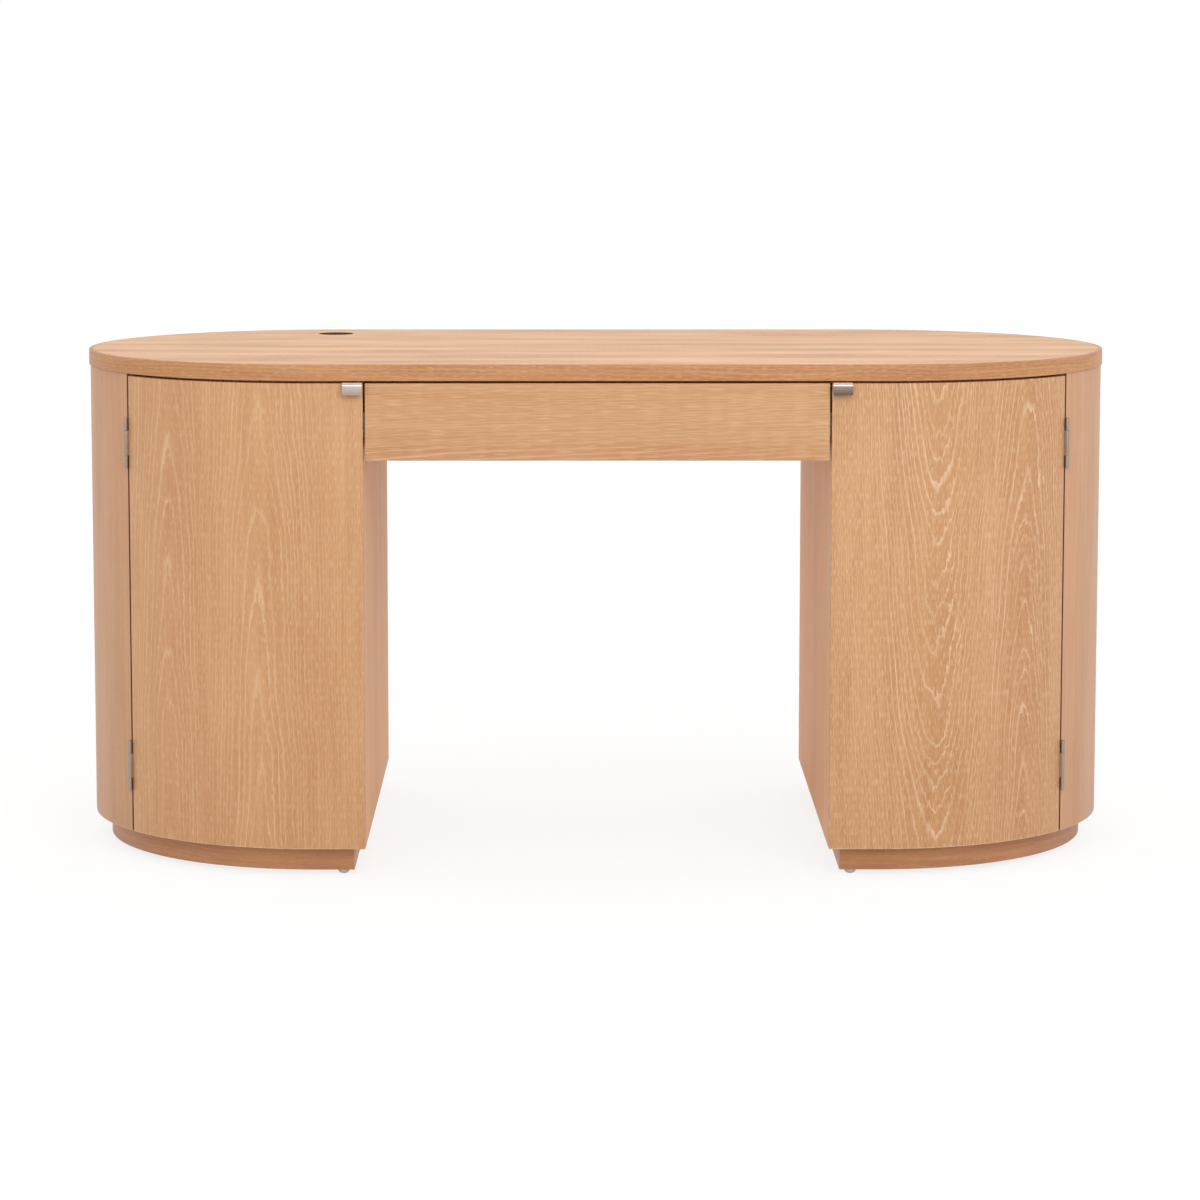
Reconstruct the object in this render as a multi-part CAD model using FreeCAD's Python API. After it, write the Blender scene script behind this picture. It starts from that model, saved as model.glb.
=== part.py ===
import FreeCAD, Part
import math
import os

# Executive desk: a racetrack top on two pedestals whose outer ends follow its half circles.
# Each pedestal has a curved door on butt hinges, and a drawer on ball slides spans the kneehole.
# Lengths are millimetres, angles degrees. X runs along the desk, Y from front to back, Z up.
# Each pedestal is drawn on the right, +X, and the left one is its mirror image.

# Desktop
top_length = 1570.0
top_depth = 734.0
top_height = 762.0
top_thickness = 24.0
edging_thickness = 6.0
edging_round = 1.5

# Pedestal bodies
body_inset = 2.0
shadow_gap = 3.5
body_bottom = 42.5
pedestal_straight = 75.0
shell_thickness = 20.0
panel_thickness = 18.0
fit_gap = 0.2

# Plinths and glides
plinth_bottom = 7.0
plinth_inset = 24.0
plinth_side_inset = 17.5
plinth_thickness = 18.0
glide_radius = 8.8
glide_rim = 2.0
glide_nail_radius = 1.2
glide_nail_length = 16.0
glide_corner_inset = 16.5

# Doors
door_thickness = 20.0
door_gap = 3.0
door_stand_off = 1.5
door_edge_round = 1.0
hinge_angle = 51.1

# Butt hinges
hinge_length = 76.0
hinge_end_inset = 101.0
knuckle_radius = 3.0
knuckle_gap = 0.3
pin_radius = 1.5
pin_fit = 0.05
pin_proud = 4.0
leaf_thickness = 1.5
leaf_width = 21.0
mortise_gap = 0.1
hinge_screw_spacing = 24.0

# Countersunk screws
screw_fit = 0.05
hinge_screw_head = 3.4
hinge_screw_shank = 1.6
hinge_screw_length = 16.0
small_screw_head = 2.8
small_screw_shank = 1.4
small_screw_length = 12.0
top_screw_head = 4.2
top_screw_shank = 2.1
top_screw_length = 34.0
front_screw_length = 25.0

# Places of the screws that hold the desktop, inside each curved shell
top_screw_inset = 105.0
top_screw_angles = (25.0, 90.0, 155.0)

# Edge pulls
pull_width = 29.0
pull_edge_inset = 0.5
pull_thickness = 1.6
pull_reach = 13.0
pull_drop = 18.0
pull_leaf_depth = 15.0
pull_bend = 3.2
pull_screw_inset = 7.0

# Magnetic catches, strikes and bumpers
catch_length = 44.0
catch_depth = 15.0
catch_height = 12.0
catch_inset = 24.0
catch_gap = 0.2
pole_thickness = 1.5
strike_length = 36.0
strike_height = 14.0
strike_thickness = 1.2
bumper_radius = 4.0
bumper_inset = 60.0
bumper_gap = 0.2

# Shelves
shelf_height = 390.0
shelf_side_gap = 1.5
shelf_set_back = 28.0
shelf_pin_radius = 2.5
shelf_pin_depth = 9.0
shelf_tongue_length = 12.0
shelf_tongue_width = 9.0
shelf_tongue_thickness = 3.0
shelf_pin_end_inset = 155.0
shelf_pin_angles = (78.0, 146.0)

# Rails between the pedestals
apron_thickness = 20.0
front_rail_thickness = 20.0
front_rail_depth = 70.0
front_rail_set_back = 12.0

# Drawer
drawer_front_height = 113.5
drawer_front_thickness = 20.0
drawer_front_gap = 3.0
drawer_wall = 12.0
drawer_depth = 450.0
drawer_box_height = 78.0
drawer_box_lift = 12.0
drawer_floor = 6.0
drawer_floor_lift = 8.0
groove_depth = 6.0
groove_gap = 0.1

# Ball slides
slide_length = 448.0
slide_width = 12.7
slide_height = 35.0
slide_metal = 1.2
slide_front_inset = 2.0
slide_web_gap = 0.8
slide_mouth = 2.2
ball_radius = 1.5
ball_gap = 0.1
cage_length = 120.0
cage_width = 4.4
cage_thickness = 0.8
balls_per_row = 6
slide_screw_inset = 35.0

# Cable grommet
grommet_end_inset = 365.0
grommet_back_inset = 97.0
grommet_hole_radius = 25.0
grommet_flange_radius = 28.0
grommet_flange = 2.0
grommet_wall = 1.6
grommet_depth = 19.0
grommet_ledge = 2.0
grommet_ledge_thickness = 1.6
cap_gap = 0.3
cap_thickness = 3.0
notch_width = 13.0
notch_depth = 9.0
cable_hole_gap = 3.0

# One overrun lets every cutting shape pass clear through what it cuts.
overrun = 5.0

# Turns in degrees
quarter_turn = 90.0
half_turn = 180.0

# Places that follow from the sizes above
end_radius = top_depth / 2
end_centre = top_length / 2 - end_radius
top_under = top_height - top_thickness
body_radius = end_radius - body_inset
body_top = top_under - shadow_gap
shell_inner = body_radius - shell_thickness
door_inner = body_radius - door_thickness
panel_front = door_inner - door_stand_off
kneehole_side = end_centre - pedestal_straight
panel_outer = kneehole_side + panel_thickness
plinth_radius = body_radius - plinth_inset
plinth_side = kneehole_side + plinth_side_inset
base_top = body_bottom + panel_thickness
ceiling = top_under - panel_thickness
pin_radius_out = body_radius + pin_proud
hinge_heights = (body_bottom + hinge_end_inset, body_top - hinge_end_inset)
pull_front = body_radius + pull_reach
drawer_front_bottom = body_top - drawer_front_height
drawer_side_out = kneehole_side - slide_width
drawer_box_bottom = drawer_front_bottom + drawer_box_lift
drawer_box_top = drawer_box_bottom + drawer_box_height
drawer_box_front = drawer_front_thickness - body_radius
drawer_box_back = drawer_box_front + drawer_depth
slide_front = drawer_box_front + slide_front_inset
slide_back = slide_front + slide_length
slide_centre = (drawer_box_bottom + drawer_box_top) / 2

grommet_x = grommet_end_inset - top_length / 2
grommet_y = end_radius - grommet_back_inset

# The pulls stand in front of the top, so the plan lies back by half their overhang,
# which puts the origin under the middle of the whole desk.
plan_shift = (pull_front - end_radius) / 2


def point(x, y, z):
    return FreeCAD.Vector(x, y, z)


up = point(0, 0, 1)
along = point(1, 0, 0)
back = point(0, 1, 0)


def box(low, high):
    size = high.sub(low)
    return Part.makeBox(size.x, size.y, size.z, low)


def rod(radius, start, end):
    run = end.sub(start)
    return Part.makeCylinder(radius, run.Length, start, run)


def join(shapes):
    return shapes[0].multiFuse(shapes[1:]).removeSplitter()


def group(shapes):
    return Part.makeCompound(shapes)


def mirrored(shape):
    return shape.mirror(point(0, 0, 0), along)


def extruded(edges, low, high):
    face = Part.Face(Part.Wire(edges))
    face.translate(point(0, 0, low))
    return face.extrude(point(0, 0, high - low))


def racetrack(radius, low, high):
    # Two half circles about the end centres, joined by straight sides
    edges = []
    for sign in (1, -1):
        start = point(-sign * end_centre, -sign * radius, 0)
        turn_in = point(sign * end_centre, -sign * radius, 0)
        turn_out = point(sign * end_centre, sign * radius, 0)
        tip = point(sign * (end_centre + radius), 0, 0)
        edges.append(Part.LineSegment(start, turn_in).toShape())
        edges.append(Part.Arc(turn_in, tip, turn_out).toShape())
    return extruded(edges, low, high)


def end_plan(radius, side, low, high):
    # One end of the racetrack, cut off square at the distance side from the middle
    front_in = point(side, -radius, 0)
    front_out = point(end_centre, -radius, 0)
    back_out = point(end_centre, radius, 0)
    back_in = point(side, radius, 0)
    edges = [
        Part.LineSegment(front_in, front_out).toShape(),
        Part.Arc(front_out, point(end_centre + radius, 0, 0), back_out).toShape(),
        Part.LineSegment(back_out, back_in).toShape(),
        Part.LineSegment(back_in, front_in).toShape(),
    ]
    return extruded(edges, low, high)


def end_wall(outer, thickness, side, low, high):
    # A wall that follows the end from front to back and is open towards the kneehole
    core = end_plan(outer - thickness, side - overrun, low - overrun, high + overrun)
    return end_plan(outer, side, low, high).cut(core)


def polar(radius, angle, z):
    # Angles run from the front of the end round towards the back
    turn = math.radians(angle)
    return point(end_centre + radius * math.sin(turn), -radius * math.cos(turn), z)


def hinge_place(z):
    # Local X points from the hinge pin along the door, local Y straight out of the body
    return FreeCAD.Placement(
        polar(pin_radius_out, hinge_angle, z), FreeCAD.Rotation(up, hinge_angle + half_turn)
    )


def placed(shape, placement):
    copy = shape.copy()
    copy.Placement = placement.multiply(copy.Placement)
    return copy


def beside_gap(sign):
    # Everything on one side of the gap between door and shell
    near = sign * door_gap / 2
    far = sign * top_length
    low = point(min(near, far), -top_length, -overrun)
    high = point(max(near, far), top_length, top_height)
    block = box(low, high)
    return placed(block, hinge_place(0))


def screw(at, direction, head, shank, length, grow=0):
    # A countersunk screw, its head flush at the place given
    head_depth = head - shank
    tip = shank
    cone = Part.makeCone(head + grow, shank + grow, head_depth, at, direction)
    start = at + direction * head_depth
    body = Part.makeCylinder(shank + grow, length - head_depth - tip, start, direction)
    point_at = at + direction * (length - tip)
    end = Part.makeCone(shank + grow, shank / 2, tip, point_at, direction)
    return join([cone, body, end])


def cut_all(shape, tools):
    for tool in tools:
        shape = shape.cut(tool)
    return shape


def pair(*place):
    # The same place on both sides of the middle
    x, y, z = place
    return [point(-x, y, z), point(x, y, z)]


# Hinges

def knuckle_ends():
    # Three knuckles: a quarter, a half and a quarter of the hinge
    quarter = hinge_length / 4
    return (-hinge_length / 2, -quarter, quarter, hinge_length / 2)


def knuckle(low, high):
    barrel = rod(knuckle_radius, point(0, 0, low), point(0, 0, high))
    bore = rod(pin_radius + pin_fit, point(0, 0, low - overrun), point(0, 0, high + overrun))
    return barrel.cut(bore)


def leaf(sign, own, others):
    # A leaf lies in the gap between door and shell and carries its own knuckles
    near = sign * (knuckle_radius - leaf_thickness)
    far = sign * knuckle_radius
    plate = box(
        point(min(near, far), -leaf_width, -hinge_length / 2),
        point(max(near, far), 0, hinge_length / 2),
    )
    bore = rod(pin_radius + pin_fit, point(0, 0, -hinge_length), point(0, 0, hinge_length))
    plate = plate.cut(bore)
    for low, high in others:
        reach = knuckle_radius + knuckle_gap
        half = knuckle_gap / 2
        room = box(point(-reach, -reach, low - half), point(reach, reach, high + half))
        plate = plate.cut(room)
    solid = join([plate] + [knuckle(low, high) for low, high in own])
    return cut_all(solid, [hinge_screw(sign, step, screw_fit) for step in (-1, 0, 1)])


def hinge_screw(sign, step, grow=0):
    at = point(
        sign * (knuckle_radius - leaf_thickness),
        -(pin_proud + door_thickness / 2),
        step * hinge_screw_spacing,
    )
    direction = along * sign
    return screw(at, direction, hinge_screw_head, hinge_screw_shank, hinge_screw_length, grow)


def frame_leaf():
    low, first, second, high = knuckle_ends()
    half = knuckle_gap / 2
    own = [(low, first - half), (second + half, high)]
    return leaf(-1, own, [(first, second)])


def door_leaf():
    low, first, second, high = knuckle_ends()
    half = knuckle_gap / 2
    return leaf(1, [(first + half, second - half)], [(low - overrun, first), (second, high + overrun)])


def hinge_pin():
    return rod(pin_radius, point(0, 0, -hinge_length / 2), point(0, 0, hinge_length / 2))


def at_hinges(shape):
    return [placed(shape, hinge_place(z)) for z in hinge_heights]


def leaf_mortise(sign):
    edge = sign * door_gap / 2
    floor = sign * (knuckle_radius + mortise_gap)
    inner = edge - sign * overrun
    return box(
        point(min(inner, floor), -leaf_width - mortise_gap, -hinge_length / 2 - mortise_gap),
        point(max(inner, floor), overrun, hinge_length / 2 + mortise_gap),
    )


def hinge_screws(sign, grow=0):
    screws = []
    for step in (-1, 0, 1):
        screws += at_hinges(hinge_screw(sign, step, grow))
    return screws


# Edge pulls

def pull_low():
    return kneehole_side + pull_edge_inset


def pull_screw_places():
    y = pull_leaf_depth / 2 - body_radius
    z = body_top + pull_thickness
    low = pull_low()
    return [point(low + pull_screw_inset, y, z), point(low + pull_width - pull_screw_inset, y, z)]


def pull_screw(at, grow=0):
    return screw(at, up * -1, small_screw_head, small_screw_shank, small_screw_length, grow)


def lengthwise_edges(shape, y, z):
    # Edges along X that pass through the place y, z
    found = []
    for edge in shape.Edges:
        ends = [vertex.Point for vertex in edge.Vertexes]
        if len(ends) == 2 and all(abs(e.y - y) < fit_gap and abs(e.z - z) < fit_gap for e in ends):
            found.append(edge)
    return found


def door_pull():
    low = pull_low()
    high = low + pull_width
    top = body_top + pull_thickness
    leaf_back = pull_leaf_depth - body_radius
    plate = box(point(low, -pull_front, body_top), point(high, leaf_back, top))
    lip = box(point(low, -pull_front, top - pull_drop), point(high, pull_thickness - pull_front, top))
    shape = join([plate, lip])
    outer = lengthwise_edges(shape, -pull_front, top)
    shape = shape.makeFillet(pull_bend, outer)
    inner = lengthwise_edges(shape, pull_thickness - pull_front, body_top)
    shape = shape.makeFillet(pull_bend - pull_thickness, inner)
    return cut_all(shape, [pull_screw(at, screw_fit) for at in pull_screw_places()])


# Doors

def strike_plate():
    # It lies on the door's flat back, facing the catch
    x = kneehole_side + catch_inset + catch_length / 2
    z = ceiling - catch_height / 2
    return box(
        point(x - strike_length / 2, -door_inner, z - strike_height / 2),
        point(x + strike_length / 2, strike_thickness - door_inner, z + strike_height / 2),
    )


def door():
    wall = end_wall(body_radius, door_thickness, kneehole_side, body_bottom, body_top)
    shape = wall.common(beside_gap(1))
    edges = lengthwise_edges(shape, -body_radius, body_top) + lengthwise_edges(
        shape, -body_radius, body_bottom
    )
    shape = shape.makeFillet(door_edge_round, edges)
    shape = cut_all(shape, at_hinges(leaf_mortise(1)))
    shape = cut_all(shape, hinge_screws(1, screw_fit))
    return cut_all(shape, [pull_screw(at, screw_fit) for at in pull_screw_places()])


# Pedestal bodies

def shelf_pin_places():
    # Each place is on an inner face, with the turn that points local X into the cabinet
    reach = shell_inner - shelf_pin_end_inset
    places = [(point(panel_outer, y, shelf_height), 0) for y in (-reach, reach)]
    for angle in shelf_pin_angles:
        places.append((polar(shell_inner, angle, shelf_height), angle + quarter_turn))
    return places


def shelf_pin(grow=0):
    axis_z = -shelf_tongue_thickness / 2
    inner_end = point(-shelf_pin_depth - grow, 0, axis_z)
    stem = rod(shelf_pin_radius + grow, inner_end, point(shelf_side_gap / 2, 0, axis_z))
    tongue = box(
        point(fit_gap, -shelf_tongue_width / 2, -shelf_tongue_thickness),
        point(shelf_tongue_length, shelf_tongue_width / 2, 0),
    )
    return join([stem, tongue])


def shelf_pins(grow=0):
    pins = []
    for place, turn in shelf_pin_places():
        pins.append(placed(shelf_pin(grow), FreeCAD.Placement(place, FreeCAD.Rotation(up, turn))))
    return pins


def curved_shell():
    wall = end_wall(body_radius, shell_thickness, panel_outer, body_bottom, top_under)
    shape = wall.common(beside_gap(-1))
    shape = cut_all(shape, at_hinges(leaf_mortise(-1)))
    shape = cut_all(shape, hinge_screws(-1, screw_fit))
    return cut_all(shape, shelf_pins(screw_fit))


def cabinet_panel(set_back, side, gap, low, high):
    # A panel that fills the cabinet's plan and keeps clear of the door by its set back
    plan = end_plan(shell_inner - gap, side, low, high)
    depth = shell_inner - door_inner + set_back
    front = end_wall(shell_inner, depth, side - overrun, low - overrun, high + overrun)
    return plan.cut(front.common(beside_gap(1)))


def base_panel():
    return cabinet_panel(door_stand_off, panel_outer, fit_gap, body_bottom, base_top)


def top_screw_places():
    reach = shell_inner - top_screw_inset
    return [polar(reach, angle, ceiling) for angle in top_screw_angles]


def top_screw(at, grow=0):
    return screw(at, up, top_screw_head, top_screw_shank, top_screw_length, grow)


def top_panel():
    shape = cabinet_panel(door_stand_off, panel_outer, fit_gap, ceiling, top_under)
    return cut_all(shape, [top_screw(at, screw_fit) for at in top_screw_places()])


def cable_hole():
    radius = grommet_hole_radius + cable_hole_gap
    return rod(radius, grommet_axis(ceiling - overrun), grommet_axis(top_under + overrun))


def shelf():
    side = panel_outer + shelf_side_gap
    top = shelf_height + panel_thickness
    return cabinet_panel(shelf_set_back, side, shelf_side_gap, shelf_height, top)


def slide_screw_places(x):
    first = slide_front + slide_screw_inset
    last = slide_back - slide_screw_inset
    return [point(x, y, slide_centre) for y in (first, (first + last) / 2, last)]


def panel_slide_screw(at, grow=0):
    return screw(at, along, small_screw_head, small_screw_shank, small_screw_length, grow)


def inner_panel():
    shape = box(point(kneehole_side, -panel_front, body_bottom), point(panel_outer, body_radius, top_under))
    shape = cut_all(shape, shelf_pins(screw_fit))
    places = slide_screw_places(kneehole_side - slide_metal)
    return cut_all(shape, [panel_slide_screw(at, screw_fit) for at in places])


def glide_places():
    middle = plinth_radius - plinth_thickness / 2
    x = plinth_side + glide_corner_inset
    return [
        point(x, -middle, plinth_bottom),
        point(x, middle, plinth_bottom),
        polar(middle, quarter_turn, plinth_bottom),
    ]


def glide_nail(at, grow=0):
    return rod(glide_nail_radius + grow, at, at + up * (glide_nail_length + grow))


def glide(at):
    # A nail-on glide: a low dome with a flat foot, a straight rim and a nail
    height = plinth_bottom
    rim = rod(glide_radius, at - up * glide_rim, at)
    dome = Part.makeCone(glide_radius / 2, glide_radius, height - glide_rim, at - up * height, up)
    return join([dome, rim, glide_nail(at)])


def plinth():
    outer = end_plan(plinth_radius, plinth_side, plinth_bottom, body_bottom)
    inner = end_plan(
        plinth_radius - plinth_thickness,
        plinth_side + plinth_thickness,
        plinth_bottom - overrun,
        body_bottom + overrun,
    )
    return cut_all(outer.cut(inner), [glide_nail(at, screw_fit) for at in glide_places()])


def catch():
    # A case with two steel poles that stand just proud of it towards the strike
    low_x = kneehole_side + catch_inset
    high_x = low_x + catch_length
    front = strike_thickness - door_inner + catch_gap
    case_front = front + pole_thickness / 2
    case = box(
        point(low_x, case_front, ceiling - catch_height), point(high_x, front + catch_depth, ceiling)
    )
    poles = []
    for z in (ceiling - catch_height / 4, ceiling - catch_height * 3 / 4):
        pole = box(
            point(low_x + pole_thickness * 2, front, z - pole_thickness / 2),
            point(high_x - pole_thickness * 2, front + catch_depth / 2, z + pole_thickness / 2),
        )
        case = case.cut(pole)
        poles.append(pole)
    return [case] + poles


def bumpers():
    # Soft dots on the front edge of the inner panel, which the door closes on
    x = kneehole_side + panel_thickness / 2
    dots = []
    for z in (body_bottom + bumper_inset, body_top - bumper_inset):
        start = point(x, -panel_front, z)
        end = point(x, bumper_gap - door_inner, z)
        dots.append(rod(bumper_radius, start, end))
    return dots


# Desktop and rails

def grommet_hole():
    # A through hole with a shallow seat that sets the grommet's flange flush
    hole = rod(grommet_hole_radius, grommet_axis(top_under - overrun), grommet_axis(top_height + overrun))
    seat_radius = grommet_flange_radius + fit_gap
    seat = rod(seat_radius, grommet_axis(top_height - grommet_flange), grommet_axis(top_height + overrun))
    return hole.fuse(seat)


def all_top_screws(grow=0):
    screws = []
    for at in top_screw_places():
        shape = top_screw(at, grow)
        screws += [shape, mirrored(shape)]
    return screws + [top_screw(at, grow) for at in rail_screw_places()]


def desktop_core():
    shape = racetrack(end_radius - edging_thickness, top_under, top_height)
    shape = shape.cut(grommet_hole())
    return cut_all(shape, all_top_screws(screw_fit))


def desktop_edging():
    shape = racetrack(end_radius, top_under, top_height)
    shape = shape.makeFillet(edging_round, outline_edges(shape))
    core = racetrack(end_radius - edging_thickness, top_under - overrun, top_height + overrun)
    return shape.cut(core)


def outline_edges(shape):
    # The edges of the flat faces above and below
    found = []
    for edge in shape.Edges:
        box_of_edge = edge.BoundBox
        if box_of_edge.ZLength < fit_gap:
            found.append(edge)
    return found


def rail_middle():
    return front_rail_set_back + front_rail_depth / 2 - panel_front


def rail_screw_places():
    return pair(kneehole_side / 2, rail_middle(), top_under - front_rail_thickness)


def front_rail():
    front = front_rail_set_back - panel_front
    shape = box(
        point(-kneehole_side, front, top_under - front_rail_thickness),
        point(kneehole_side, front + front_rail_depth, top_under),
    )
    return cut_all(shape, [top_screw(at, screw_fit) for at in rail_screw_places()])


def rear_apron():
    return box(
        point(-kneehole_side, body_radius - apron_thickness, drawer_front_bottom),
        point(kneehole_side, body_radius, top_under),
    )


# Cable grommet

def grommet_axis(z):
    return point(grommet_x, grommet_y, z)


def liner_bore():
    return grommet_hole_radius - fit_gap - grommet_wall


def cap_seat():
    return top_height - cap_thickness


def grommet_liner():
    bottom = top_height - grommet_depth
    flange_under = top_height - grommet_flange
    sleeve = rod(grommet_hole_radius - fit_gap, grommet_axis(bottom), grommet_axis(flange_under))
    flange = rod(grommet_flange_radius, grommet_axis(flange_under), grommet_axis(top_height))
    rim = [edge for edge in flange.Edges if edge.BoundBox.ZMin > flange_under + fit_gap]
    flange = flange.makeFillet(grommet_flange / 2, rim)
    body = join([sleeve, flange])
    below = bottom - overrun
    ledge_under = cap_seat() - grommet_ledge_thickness
    upper = rod(liner_bore(), grommet_axis(cap_seat()), grommet_axis(top_height + overrun))
    lower = rod(liner_bore(), grommet_axis(below), grommet_axis(ledge_under))
    middle = rod(liner_bore() - grommet_ledge, grommet_axis(below), grommet_axis(top_height))
    return cut_all(body, [upper, lower, middle])


def grommet_cap():
    radius = liner_bore() - cap_gap
    disc = rod(radius, grommet_axis(cap_seat()), grommet_axis(cap_seat() + cap_thickness))
    bottom = cap_seat() - overrun
    top = cap_seat() + cap_thickness + overrun
    round_y = grommet_y + radius - notch_depth + notch_width / 2
    slot = box(
        point(grommet_x - notch_width / 2, round_y, bottom),
        point(grommet_x + notch_width / 2, grommet_y + radius + overrun, top),
    )
    end = rod(notch_width / 2, point(grommet_x, round_y, bottom), point(grommet_x, round_y, top))
    return disc.cut(slot).cut(end)


# Drawer

def front_screw_places():
    # Heads sit inside the drawer, two screws towards each end
    x = drawer_side_out * 3 / 4
    y = drawer_box_front + drawer_wall
    quarter = drawer_box_height / 4
    return pair(x, y, slide_centre + quarter) + pair(x, y, slide_centre - quarter / 2)


def front_screw(at, grow=0):
    return screw(at, back * -1, top_screw_head, top_screw_shank, front_screw_length, grow)


def drawer_front():
    half = kneehole_side - drawer_front_gap
    shape = box(point(-half, -body_radius, drawer_front_bottom), point(half, drawer_box_front, body_top))
    edges = lengthwise_edges(shape, -body_radius, body_top) + lengthwise_edges(
        shape, -body_radius, drawer_front_bottom
    )
    shape = shape.makeFillet(door_edge_round, edges)
    return cut_all(shape, [front_screw(at, screw_fit) for at in front_screw_places()])


def drawer_floor_box(grow):
    x = drawer_side_out - drawer_wall + groove_depth
    low = drawer_box_bottom + drawer_floor_lift
    return box(
        point(-x - grow, drawer_box_front + drawer_wall - groove_depth - grow, low - grow),
        point(x + grow, drawer_box_back - drawer_wall + groove_depth + grow, low + drawer_floor + grow),
    )


def drawer_cross_wall(low_y):
    x = drawer_side_out - drawer_wall
    wall = box(
        point(-x, low_y, drawer_box_bottom), point(x, low_y + drawer_wall, drawer_box_top)
    )
    return wall.cut(drawer_floor_box(groove_gap))


def drawer_sub_front():
    wall = drawer_cross_wall(drawer_box_front)
    return cut_all(wall, [front_screw(at, screw_fit) for at in front_screw_places()])


def drawer_back():
    return drawer_cross_wall(drawer_box_back - drawer_wall)


def drawer_slide_screw(at, grow=0):
    return screw(at, along * -1, small_screw_head, small_screw_shank, drawer_wall * 3 / 4, grow)


def drawer_side():
    wall = box(
        point(drawer_side_out - drawer_wall, drawer_box_front, drawer_box_bottom),
        point(drawer_side_out, drawer_box_back, drawer_box_top),
    )
    wall = wall.cut(drawer_floor_box(groove_gap))
    places = slide_screw_places(drawer_side_out + slide_metal)
    return cut_all(wall, [drawer_slide_screw(at, screw_fit) for at in places])


# Ball slides, drawn on the right with their outer member on the panel

def channel(web_face, web_sign, lip_end, half_height):
    # A C section along Y: the web's outer face, the side its metal lies on and the lips' ends
    web_far = web_face + web_sign * slide_metal
    web = box(
        point(min(web_face, web_far), slide_front, slide_centre - half_height),
        point(max(web_face, web_far), slide_back, slide_centre + half_height),
    )
    solids = [web]
    for sign in (-1, 1):
        edge = slide_centre + sign * half_height
        inside = edge - sign * slide_metal
        solids.append(
            box(
                point(min(web_face, lip_end), slide_front, min(edge, inside)),
                point(max(web_face, lip_end), slide_back, max(edge, inside)),
            )
        )
    return join(solids)


def race_step():
    return slide_metal + 2 * (ball_radius + ball_gap)


def slide_outer():
    lip_end = drawer_side_out + slide_mouth
    shape = channel(kneehole_side, -1, lip_end, slide_height / 2)
    places = slide_screw_places(kneehole_side - slide_metal)
    return cut_all(shape, [panel_slide_screw(at, screw_fit) for at in places])


def slide_middle():
    web_face = kneehole_side - slide_metal - slide_web_gap
    return channel(web_face, -1, drawer_side_out + slide_mouth, slide_height / 2 - race_step())


def slide_inner():
    lip_end = kneehole_side - 2 * (slide_metal + slide_web_gap) - slide_web_gap
    shape = channel(drawer_side_out, 1, lip_end, slide_height / 2 - 2 * race_step())
    places = slide_screw_places(drawer_side_out + slide_metal)
    return cut_all(shape, [drawer_slide_screw(at, screw_fit) for at in places])


def ball_cage(stage):
    # Two strips of steel that space a row of balls above and a row below
    x = (kneehole_side + drawer_side_out) / 2
    y = (slide_front + slide_back) / 2
    reach = slide_height / 2 - stage * race_step() - slide_metal - ball_gap - ball_radius
    pitch = cage_length / balls_per_row
    solids = []
    for sign in (-1, 1):
        z = slide_centre + sign * reach
        strip = box(
            point(x - cage_width / 2, y - cage_length / 2, z - cage_thickness / 2),
            point(x + cage_width / 2, y + cage_length / 2, z + cage_thickness / 2),
        )
        for number in range(balls_per_row):
            centre = point(x, y + pitch * (number + 1 / 2) - cage_length / 2, z)
            strip = strip.cut(rod(ball_radius + ball_gap, centre - up * overrun, centre + up * overrun))
            solids.append(Part.makeSphere(ball_radius, centre))
        solids.append(strip)
    return solids


def save(name, shape):
    shape = shape.copy()
    shape.translate(point(0, plan_shift, 0))
    shape.exportStep(os.path.join("parts", name + ".step"))
    print(name, len(shape.Solids), round(shape.Volume), shape.isValid())


def save_both(name, shape):
    save("right_" + name, shape)
    save("left_" + name, mirrored(shape))


def save_all_round(name, shapes):
    # One node for identical pieces of both sides
    save(name, group(shapes + [mirrored(shape) for shape in shapes]))


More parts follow.
